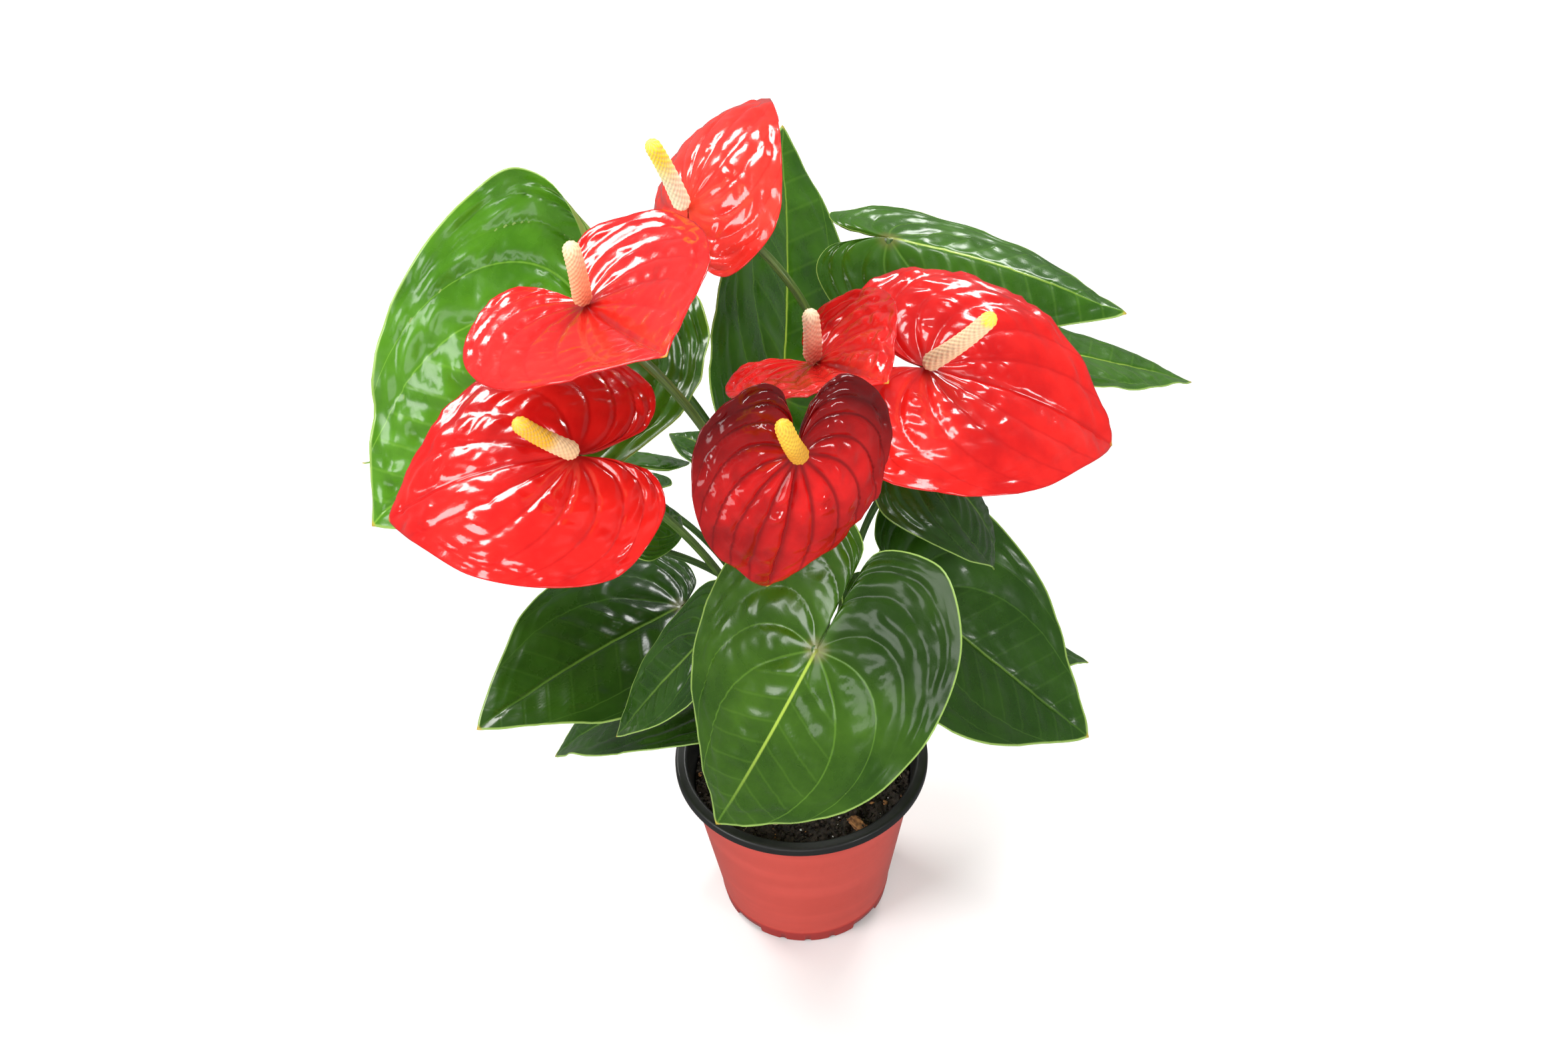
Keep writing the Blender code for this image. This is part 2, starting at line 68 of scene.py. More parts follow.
class Signal:
    """A shader socket that takes part in arithmetic: each operator adds its Math node."""

    def __init__(self, bench: "Bench", socket: bpy.types.NodeSocket) -> None:
        """Wrap an output socket of a node on a bench."""
        self.bench = bench
        self.socket = socket

    def _math(self, operation: str, first: "Number", second: "Number" = 0.0) -> "Signal":
        """Add a Math node for an operation on two values."""
        return self.bench.node("ShaderNodeMath", {"operation": operation}, {0: first, 1: second})

    def __add__(self, other: "Number") -> "Signal":
        """Sum."""
        return self._math("ADD", self, other)

    __radd__ = __add__

    def __sub__(self, other: "Number") -> "Signal":
        """Difference."""
        return self._math("SUBTRACT", self, other)

    def __rsub__(self, other: "Number") -> "Signal":
        """Difference from a number."""
        return self._math("SUBTRACT", other, self)

    def __mul__(self, other: "Number") -> "Signal":
        """Product."""
        return self._math("MULTIPLY", self, other)

    __rmul__ = __mul__

    def size(self) -> "Signal":
        """Magnitude without the sign."""
        return self._math("ABSOLUTE", self)

    def to_nearest(self) -> "Signal":
        """Distance to the nearest whole number."""
        return self._math("PINGPONG", self, 0.5)

    def step(self, low: float, high: float) -> "Signal":
        """Smooth climb from 0 at the low value to 1 at the high one, or down if high is below low."""
        return self.bench.node(
            "ShaderNodeMapRange", {"interpolation_type": "SMOOTHSTEP"}, {0: self, 1: low, 2: high}
        )


Number = Signal | float


class Bench:
    """One material's node tree, and the only place where nodes are added to it."""

    def __init__(self, name: str) -> None:
        """Start a material with a Principled shader and its output."""
        self.material = bpy.data.materials.new(name)
        self.material.use_nodes = True
        self.tree = self.material.node_tree
        self.shader = self.tree.nodes["Principled BSDF"]

    def node(
        self, kind: str, settings: dict | None = None, inputs: dict | None = None, output: int | str = 0
    ) -> Signal:
        """Add a node.

        Args:
            kind: the node's type name.
            settings: attributes that are set first.
            inputs: values or signals by socket name or number.
            output: which output socket is handed back.

        Returns:
            The chosen output as a signal.
        """
        made = self.tree.nodes.new(kind)
        for key, value in (settings or {}).items():
            setattr(made, key, value)
        for key, value in (inputs or {}).items():
            self._feed(made.inputs[key], value)
        return Signal(self, made.outputs[output])

    def _feed(self, socket: bpy.types.NodeSocket, value: object) -> None:
        """Link a signal to a socket or set its value.

        Args:
            socket: the input that is fed.
            value: a signal, a plain value, or a colour of three numbers, which gets its alpha.
        """
        if isinstance(value, Signal):
            self.tree.links.new(value.socket, socket)
        elif isinstance(value, tuple) and socket.type == "RGBA":
            socket.default_value = (*value, 1.0)
        else:
            socket.default_value = value

    def set(self, **sockets: object) -> None:
        """Feed the Principled shader's sockets, named with underscores for spaces."""
        for key, value in sockets.items():
            self._feed(self.shader.inputs[key.replace("_", " ")], value)

    def place(self) -> Signal:
        """Position on the piece, in metres."""
        return self.node("ShaderNodeTexCoord", output="Object")

    def attribute(self, name: str, output: str = "Fac") -> Signal:
        """A value or colour stored on the mesh."""
        return self.node("ShaderNodeAttribute", {"attribute_name": name}, output=output)

    def noise(
        self, scale: float, detail: float = 3.0, rough: float = 0.5, where: Signal | None = None
    ) -> Signal:
        """Fractal noise between 0 and 1, by size on the piece or by another position."""
        sockets = {"Vector": where or self.place(), "Scale": scale, "Detail": detail, "Roughness": rough}
        return self.node("ShaderNodeTexNoise", inputs=sockets)

    def mix(self, share: Number, first: object, second: object) -> Signal:
        """Blend two colours."""
        return self.node("ShaderNodeMix", {"data_type": "RGBA"}, {0: share, 6: first, 7: second}, 2)

    def bump(self, height: Signal, strength: float, depth: float) -> None:
        """Raise the surface's shading by a height in units of a depth in metres."""
        normal = self.node(
            "ShaderNodeBump", inputs={"Strength": strength, "Distance": depth, "Height": height}
        )
        self.set(Normal=normal)


# ---------------------------------------------------------------------------------------------
# Finishes
# ---------------------------------------------------------------------------------------------


@dataclass(frozen=True)
class LeafFinish:
    """A leaf's waxy upper face: mottled green with paler veins and a thin pale edge."""

    name: str
    deep: Colour
    bright: Colour
    vein: Colour
    rib: Colour
    edge: Colour = (0.30, 0.46, 0.10)
    heart: Colour = (0.16, 0.13, 0.03)
    roughness: float = 0.20
    # Strength of the painted shade on the left lobe.
    painted_shade: float = 0.0

    def make(self) -> bpy.types.Material:
        """Build the upper face's material; the left lobe can be darkened as painted shade for the shadow it
        sits in.

        Returns:
            The material.
        """
        bench = Bench(self.name)
        ring = bench.attribute("ring")
        along = bench.attribute("along")
        across = bench.attribute("across")
        phase = bench.attribute("phase")
        off_vein = phase.to_nearest() * bench.attribute("breadth")
        off_rib = across.size() * bench.attribute("span")
        vein = off_vein.step(0.75, 0.15) * phase.step(3.4, 1.6)
        rib = off_rib.step(0.9, 0.25) * along.step(-0.01, 0.02)
        side_rib = ((along - across.size() * 0.62) * 9.0).to_nearest().step(0.09, 0.0) * phase.step(1.15, 0.8)
        mottle = bench.noise(55.0, 4.0, 0.6)
        broad = bench.noise(14.0, 2.0)
        green = bench.mix((mottle * 0.55 + broad * 0.6 - 0.1).step(0.15, 0.85), self.deep, self.bright)
        # Painted shade: the left lobe is darkened towards half of the deep green.
        shaded = tuple(channel * 0.5 for channel in self.deep)
        green = bench.mix(along.step(0.12, -0.10) * across.step(-0.02, 0.06) * self.painted_shade, green, shaded)
        green = bench.mix(side_rib * 0.14, green, self.vein)
        green = bench.mix(vein * 0.42, green, self.vein)
        green = bench.mix(rib * ring.step(1.0, 0.2) * 0.9, green, self.rib)
        heart = bench.attribute("reach").step(7.0, 1.0)
        green = bench.mix(heart * 0.6, green, self.heart)
        green = bench.mix(ring.step(0.984, 0.994) * 0.85, green, self.edge)
        green = bench.mix(along.step(0.978, 0.995) * 0.8, green, TIP_TINT)
        bench.set(
            Base_Color=green,
            Roughness=self.roughness + mottle * 0.16,
            Specular_IOR_Level=0.38,
            Coat_Weight=0.22,
            Coat_Roughness=0.10,
        )
        grain = bench.noise(900.0, 2.0) * 0.2 + bench.noise(170.0, 3.0) - side_rib * 0.5
        bench.bump(grain, 0.22, 0.0004)
        return bench.material


@dataclass(frozen=True)
class UndersideFinish:
    """The paler, duller underside of a leaf or a spathe, with veins that stand out."""

    name: str
    colour: Colour
    vein: Colour
    roughness: float = 0.5

    def make(self) -> bpy.types.Material:
        """Build the underside's material.

        Returns:
            The material.
        """
        bench = Bench(self.name)
        off_vein = bench.attribute("phase").to_nearest() * bench.attribute("breadth")
        mottle = bench.noise(70.0, 4.0)
        vein = off_vein.step(1.0, 0.2)
        darker = tuple(channel * 0.7 for channel in self.colour)
        skin = bench.mix(mottle.step(0.3, 0.7), self.colour, darker)
        bench.set(Base_Color=bench.mix(vein * 0.5, skin, self.vein), Roughness=self.roughness + mottle * 0.1)
        bench.bump(bench.noise(600.0) * 0.4 + vein, 0.3, 0.0005)
        return bench.material


@dataclass(frozen=True)
class SpatheFinish:
    """A lacquered-looking spathe: red that deepens in the veins and pales towards the light parts."""

    name: str
    deep: Colour
    bright: Colour
    heart: Colour
    # Strength of the painted shade on the lobes and margins.
    lobe_shade: float = 0.0
    roughness: float = 0.14
    gloss: float = 0.45
    vein_depth: float = 0.4

    def make(self) -> bpy.types.Material:
        """Build the spathe's face material.

        Returns:
            The material.
        """
        bench = Bench(self.name)
        ring = bench.attribute("ring")
        off_vein = bench.attribute("phase").to_nearest() * bench.attribute("breadth")
        vein = off_vein.step(1.3, 0.1)
        broad = bench.noise(22.0, 3.0, 0.6)
        streak = bench.noise(120.0, 3.0)
        red = bench.mix((broad + streak * 0.35 - 0.15).step(0.2, 0.85), self.deep, self.bright)
        red = bench.mix(vein * self.vein_depth, red, self.deep)
        red = bench.mix(bench.attribute("reach").step(11.0, 1.5) * 0.7, red, self.heart)
        red = bench.mix(ring.step(0.975, 1.0) * 0.35, red, self.deep)
        along = bench.attribute("along")
        # Painted shade: the lobes and the margins away from the tip are darkened towards a deeper red.
        painted_shade = tuple(channel * 0.45 for channel in self.deep)
        shaded = along.step(0.25, -0.40) * 0.8 + ring.step(0.62, 0.98) * along.step(0.9, 0.5) * 0.5
        red = bench.mix(shaded * self.lobe_shade, red, painted_shade)
        red = bench.mix(along.step(0.980, 0.996) * 0.8, red, TIP_TINT)
        bench.set(
            Base_Color=red,
            Roughness=self.roughness + streak * 0.10,
            Specular_IOR_Level=self.gloss,
            Coat_Weight=self.gloss + 0.05,
            Coat_Roughness=0.05,
            Subsurface_Weight=0.12,
            Subsurface_Radius=(0.6, 0.12, 0.08),
            Subsurface_Scale=0.004,
        )
        bench.bump(bench.noise(420.0, 3.0) * 0.5 + streak, 0.30, 0.0006)
        return bench.material


@dataclass(frozen=True)
class SpadixFinish:
    """A spadix: one tint at its foot and one at its tip, meeting at a share of its height."""

    name: str
    foot: Colour
    tip: Colour
    meet: float
    spread: float = 0.22

    def make(self) -> bpy.types.Material:
        """Build the spadix's material.

        Returns:
            The material.
        """
        bench = Bench(self.name)
        height = bench.attribute("height") + (bench.noise(260.0) - 0.5) * 0.12
        tint = bench.mix(height.step(self.meet - self.spread, self.meet + self.spread), self.foot, self.tip)
        # Painted shade: the pits between the beads are darkened; they are also rougher.
        pit = bench.attribute("bead").step(0.75, 0.0)
        shade = tuple(channel * 0.62 for channel in self.foot)
        bench.set(
            Base_Color=bench.mix(pit * 0.5, tint, shade),
            Roughness=0.42 + pit * 0.15,
            Subsurface_Weight=0.15,
            Subsurface_Radius=(0.5, 0.35, 0.15),
            Subsurface_Scale=0.003,
        )
        bench.bump(bench.noise(2600.0, 2.0), 0.25, 0.0002)
        return bench.material


@dataclass(frozen=True)
class StemFinish:
    """A stem's green skin with fine lengthwise streaks and small specks."""

    name: str = "stem_skin"
    deep: Colour = (0.020, 0.055, 0.012)
    bright: Colour = (0.085, 0.17, 0.03)

    def make(self) -> bpy.types.Material:
        """Build the stem's material; its streaks follow the stem's own round-and-along map.

        Returns:
            The material.
        """
        bench = Bench(self.name)
        streak = bench.noise(3.0, 4.0, 0.6, bench.attribute("wrap", "Vector"))
        speck = bench.noise(900.0, 2.0).step(0.62, 0.75)
        green = bench.mix(streak.step(0.3, 0.72), self.deep, self.bright)
        bench.set(
            Base_Color=bench.mix(speck * 0.3, green, (0.16, 0.2, 0.06)),
            Roughness=0.34 + streak * 0.15,
            Coat_Weight=0.15,
        )
        bench.bump(streak + speck * 0.3, 0.25, 0.0003)
        return bench.material


@dataclass(frozen=True)
class PotFinish:
    """Moulded plastic: faint flow lines round the wall that vary its roughness and are painted paler as
    painted sheen, soft scuffs and a fine orange-peel skin.
    """

    name: str
    colour: Colour
    foot: Colour
    roughness: float
    dust: float = 0.0

    def make(self) -> bpy.types.Material:
        """Build the plastic; a darker colour takes over on the band at the foot, near the ground.

        Returns:
            The material.
        """
        bench = Bench(self.name)
        place = bench.place()
        height = bench.node("ShaderNodeSeparateXYZ", inputs={0: place}, output="Z")
        flow = bench.node(
            "ShaderNodeMapping", {"vector_type": "POINT"},
            {"Vector": place, "Rotation": (0.5, 0.35, 0.0), "Scale": (6.0, 6.0, 60.0)},
        )
        streak = bench.noise(1.3, 3.0, 0.55, flow)
        scuff = bench.noise(60.0, 5.0, 0.65).step(0.55, 0.8)
        # Painted sheen: the streaks round the wall are painted paler, up to half way to this lighter colour.
        pale = tuple(channel * 1.3 + 0.012 for channel in self.colour)
        skin = bench.mix(streak.step(0.35, 0.8) * 0.5, self.colour, pale)
        skin = bench.mix(height.step(FOOT_BAND + 0.001, FOOT_BAND - 0.001) * 0.9, skin, self.foot)
        dusty = bench.mix(scuff * self.dust, skin, (0.25, 0.2, 0.16))
        bench.set(
            Base_Color=dusty,
            Roughness=self.roughness + streak * 0.12 + scuff * 0.1,
            Coat_Weight=0.1,
        )
        bench.bump(bench.noise(1500.0, 2.0) * 0.3 + streak, 0.15, 0.0003)
        return bench.material


@dataclass(frozen=True)
class CrumbFinish:
    """Loose stuff on the mix: each piece has its own shade between two tints."""

    name: str
    dark: Colour
    light: Colour
    roughness: float = 0.9
    grain: float = 700.0

    def make(self) -> bpy.types.Material:
        """Build the crumb's material.

        Returns:
            The material.
        """
        bench = Bench(self.name)
        own = bench.attribute("shade")
        grain = bench.noise(self.grain, 5.0, 0.65)
        tint = bench.mix((own * 0.6 + grain * 0.5).step(0.15, 0.9), self.dark, self.light)
        bench.set(Base_Color=tint, Roughness=self.roughness - grain * 0.2)
        bench.bump(grain, 0.7, 0.0006)
        return bench.material


class Tone(Enum):
    """How bright a blade's finish is."""

    BRIGHT = "bright"
    FRESH = "fresh"
    MOSS = "moss"
    DARK = "dark"
    CORAL = "coral"
    SCARLET = "scarlet"
    CRIMSON = "crimson"


# The greens are copies of one leaf green at several brightnesses: partly each leaf's own green and partly
# painted light, the bright one for the lit top left leaf, and the moss and dark ones painted shade for the
# front leaf and the leaves lower down and under the flowers.
LEAF_FINISHES = {
    Tone.BRIGHT: LeafFinish("leaf_bright", (0.034, 0.13, 0.003), (0.105, 0.31, 0.010), (0.25, 0.50, 0.05),
                            (0.34, 0.50, 0.06), painted_shade=0.85),
    Tone.FRESH: LeafFinish("leaf_fresh", (0.013, 0.060, 0.002), (0.050, 0.155, 0.005), (0.14, 0.30, 0.03),
                           (0.36, 0.50, 0.06)),
    Tone.MOSS: LeafFinish("leaf_moss", (0.012, 0.046, 0.001), (0.050, 0.135, 0.002), (0.12, 0.26, 0.02),
                          (0.36, 0.50, 0.06), painted_shade=0.7),
    Tone.DARK: LeafFinish("leaf_dark", (0.008, 0.034, 0.002), (0.027, 0.085, 0.004), (0.07, 0.16, 0.02),
                          (0.13, 0.24, 0.03)),
}
# The crimson is the scarlet made darker: painted shade for the front spathe, which sits in shade and also
# gets the full painted shade on its lobes and margins.
SPATHE_FINISHES = {
    Tone.CORAL: SpatheFinish("spathe_coral", (0.62, 0.010, 0.008), (0.86, 0.050, 0.032), (0.60, 0.05, 0.02)),
    Tone.SCARLET: SpatheFinish("spathe_scarlet", (0.44, 0.003, 0.004), (0.74, 0.016, 0.011),
                               (0.30, 0.008, 0.008)),
    Tone.CRIMSON: SpatheFinish("spathe_crimson", (0.22, 0.001, 0.002), (0.70, 0.008, 0.007),
                               (0.14, 0.005, 0.004), 1.0, 0.13, 0.40, 0.8),
}
SPADIX_FINISHES = {
    "top": SpadixFinish("spadix_top_skin", (0.95, 0.88, 0.60), (0.95, 0.80, 0.05), 0.58),
    "left_upper": SpadixFinish("spadix_left_upper_skin", (0.88, 0.50, 0.26), (0.90, 0.70, 0.42), 0.75),
    "left_lower": SpadixFinish("spadix_left_lower_skin", (0.90, 0.66, 0.36), (0.80, 0.45, 0.02), 0.42, 0.1),
    "front": SpadixFinish("spadix_front_skin", (0.62, 0.30, 0.02), (0.80, 0.48, 0.035), 0.5),
    "middle": SpadixFinish("spadix_middle_skin", (0.82, 0.52, 0.34), (0.86, 0.66, 0.44), 0.5),
    "right": SpadixFinish("spadix_right_skin", (0.80, 0.62, 0.38), (0.88, 0.66, 0.05), 0.90, 0.05),
}


# ---------------------------------------------------------------------------------------------
# Meshes from arrays
# ---------------------------------------------------------------------------------------------


def unit(vectors: np.ndarray) -> np.ndarray:
    """Vectors over their own lengths."""
    return vectors / np.maximum(np.linalg.norm(vectors, axis=-1, keepdims=True), 1e-12)


def ramp(values: np.ndarray, low: float, high: float) -> np.ndarray:
    """Smooth climb 3t^2 - 2t^3, with t the share of the way from low to high."""
    share = np.clip((values - low) / (high - low), 0.0, 1.0)
    return share * share * (3.0 - 2.0 * share)


def ripples(points: np.ndarray, size: float, seed: int, waves: int = 24) -> np.ndarray:
    """A smooth random field: the mean of sine waves of about one length in seeded directions.

    Args:
        points: places, with X, Y and Z in the last axis.
        size: the waves' usual length, in the points' unit.
        seed: seed of the directions and phases.
        waves: how many waves are added.

    Returns:
        Values with a spread of about one, one for each place.
    """
    random = np.random.default_rng(seed)
    ways = unit(random.normal(size=(waves, 3))) * random.uniform(0.6, 1.6, (waves, 1)) * math.tau / size
    return np.sin(points @ ways.T + random.uniform(0.0, math.tau, waves)).sum(-1) * math.sqrt(2.0 / waves)


def quads(index: np.ndarray) -> np.ndarray:
    """Four-cornered faces between neighbouring rows and columns of a grid of vertex numbers."""
    return np.stack((index[:-1, :-1], index[:-1, 1:], index[1:, 1:], index[1:, :-1]), -1).reshape(-1, 4)


@dataclass
class Skin:
    """A mesh gathered as whole arrays: closed patches, and values stored on their points."""

    name: str
    points: list[np.ndarray] = field(default_factory=list)
    faces: list[tuple[np.ndarray, int]] = field(default_factory=list)
    values: dict[str, list[np.ndarray]] = field(default_factory=dict)
    count: int = 0

    def patch(
        self, points: np.ndarray, faces: list[tuple[np.ndarray, int]], values: dict[str, np.ndarray]
    ) -> None:
        """Add one closed patch and turn it outwards by the sign of its volume.

        Args:
            points: the patch's points, one row each.
            faces: arrays of corner numbers, each with its material's number.
            values: arrays by attribute name, one row for each point.
        """
        volume = 0.0
        for corners, _ in faces:
            first = points[corners[:, 0]]
            for second in range(1, corners.shape[1] - 1):
                cross = np.cross(points[corners[:, second]] - first, points[corners[:, second + 1]] - first)
                volume += float((first * cross).sum())
        self.points.append(points)
        for corners, material in faces:
            turned = corners if volume > 0.0 else corners[:, ::-1]
            self.faces.append((turned + self.count, material))
        for key, value in values.items():
            self.values.setdefault(key, []).append(value)
        self.count += len(points)

    def column(
        self, rings: np.ndarray, first: np.ndarray, last: np.ndarray, bands: np.ndarray | int = 0,
        **values: np.ndarray,
    ) -> None:
        """Add a patch of closed rings with a single point at each end.

        Args:
            rings: points in (ring, step round, coordinate).
            first: the point before the first ring.
            last: the point after the last ring.
            bands: the material's number of each band between two rings, or one for all.
            values: arrays over (ring, step round) by attribute name; the ends take their ring's mean.
        """
        rows, steps = rings.shape[:2]
        index = np.arange(rows * steps).reshape(rows, steps) + 2
        index = np.concatenate((index, index[:, :1]), 1)
        bands = np.broadcast_to(bands, rows - 1)
        faces = [(quads(index[row:row + 2]), int(bands[row])) for row in range(rows - 1)]
        start, end = np.zeros(steps, int), np.ones(steps, int)
        faces.append((np.stack((start, index[0, 1:], index[0, :-1]), -1), int(bands[0])))
        faces.append((np.stack((index[-1, :-1], index[-1, 1:], end), -1), int(bands[-1])))
        points = np.concatenate((first[None], last[None], rings.reshape(-1, 3)))
        stored = {}
        for key, value in values.items():
            width = value.shape[2:]
            ends = np.stack((value[0].mean(0), value[-1].mean(0))).reshape(2, *width)
            stored[key] = np.concatenate((ends, value.reshape(-1, *width)))
        self.patch(points, faces, stored)

    def write(self, *materials: bpy.types.Material) -> bpy.types.Object:
        """Put the arrays into a mesh of its own object, smooth all over, and link it.

        Args:
            materials: the mesh's materials, in the order of their numbers.

        Returns:
            The new object.
        """
        mesh = bpy.data.meshes.new(self.name)
        points = np.concatenate(self.points)
        mesh.vertices.add(len(points))
        mesh.vertices.foreach_set("co", points.ravel())
        corners = np.concatenate([array.ravel() for array, _ in self.faces])
        sizes = np.concatenate([np.full(len(array), array.shape[1]) for array, _ in self.faces])
        mesh.loops.add(len(corners))
        mesh.loops.foreach_set("vertex_index", corners)
        mesh.polygons.add(len(sizes))
        mesh.polygons.foreach_set("loop_start", np.concatenate(([0], np.cumsum(sizes)[:-1])))
        slots = np.concatenate([np.full(len(array), material) for array, material in self.faces])
        mesh.polygons.foreach_set("material_index", slots)
        for key, arrays in self.values.items():
            stored = np.concatenate(arrays)
            kind, field_name = ("FLOAT_VECTOR", "vector") if stored.ndim == 2 else ("FLOAT", "value")
            mesh.attributes.new(key, kind, "POINT").data.foreach_set(field_name, stored.ravel())
        mesh.update(calc_edges=True)
        mesh.validate()
        mesh.shade_smooth()
        for material in materials:
            mesh.materials.append(material)
        obj = bpy.data.objects.new(self.name, mesh)
        bpy.context.scene.collection.objects.link(obj)
        return obj


def settle(obj: bpy.types.Object, slot: str, *nodes: str) -> None:
    """Make a finished piece ride on the body and stand for its nodes, and report it.

    Args:
        obj: the finished piece.
        slot: the record's material slot; not used.
        nodes: the nodes that the piece stands for.
    """
    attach(obj, BODY)
    drift = 0.0
    if nodes:
        low, high = np.array([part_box(node) for node in nodes]).transpose(1, 0, 2)
        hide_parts(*nodes)
        corners = np.array(obj.bound_box)
        drift = max(np.abs(corners.min(0) - low.min(0)).max(), np.abs(corners.max(0) - high.max(0)).max())
    LOG.info("%s: %d faces, %.1f mm from its node's box", obj.name, len(obj.data.polygons), drift / MM)


# ---------------------------------------------------------------------------------------------
# Blades: leaves and spathes
# ---------------------------------------------------------------------------------------------


@dataclass(frozen=True)
class Relief:
    """What stands out on a blade, in millimetres, and where its main veins leave the stem, in degrees."""

    veins: tuple[float, ...]
    groove: float
    pillow: float
    corrugation: float
    corrugation_length: float
    side_quilt: float
    collective: float
    sweep: float = 0.30
    crumple: float = 0.0
    edge_wave: float = 0.5
    rim_gain: float = 0.0


LEAF_RELIEF = Relief(
    (0.0, 48.0, 96.0, 146.0, 215.0, 320.0, 480.0, 700.0), 0.6, 0.6, 0.3, 13.0, 0.4, 0.35, 0.78, 0.09
)
SPATHE_RELIEF = Relief(
    (0.0, 24.0, 52.0, 84.0, 120.0, 160.0, 205.0, 270.0, 400.0), 0.95, 0.6, 0.5, 8.0, 0.0, 0.55, 0.55, 0.15,
    rim_gain=1.2,
)

# Half of a blade's margin from the tip to the notch: shares of the length, half width and lobe.
MARGIN_FRONT = ((1.0, 0.0), (0.94, 0.13), (0.80, 0.37), (0.55, 0.76), (0.25, 0.97), (-0.05, 1.0))
MARGIN_LOBE = ((0.60, 0.86), (0.98, 0.50))
MARGIN_NOTCH = ((0.86, 0.20), (0.40, 0.055))
NOTCH_END = (-0.03, 0.01)


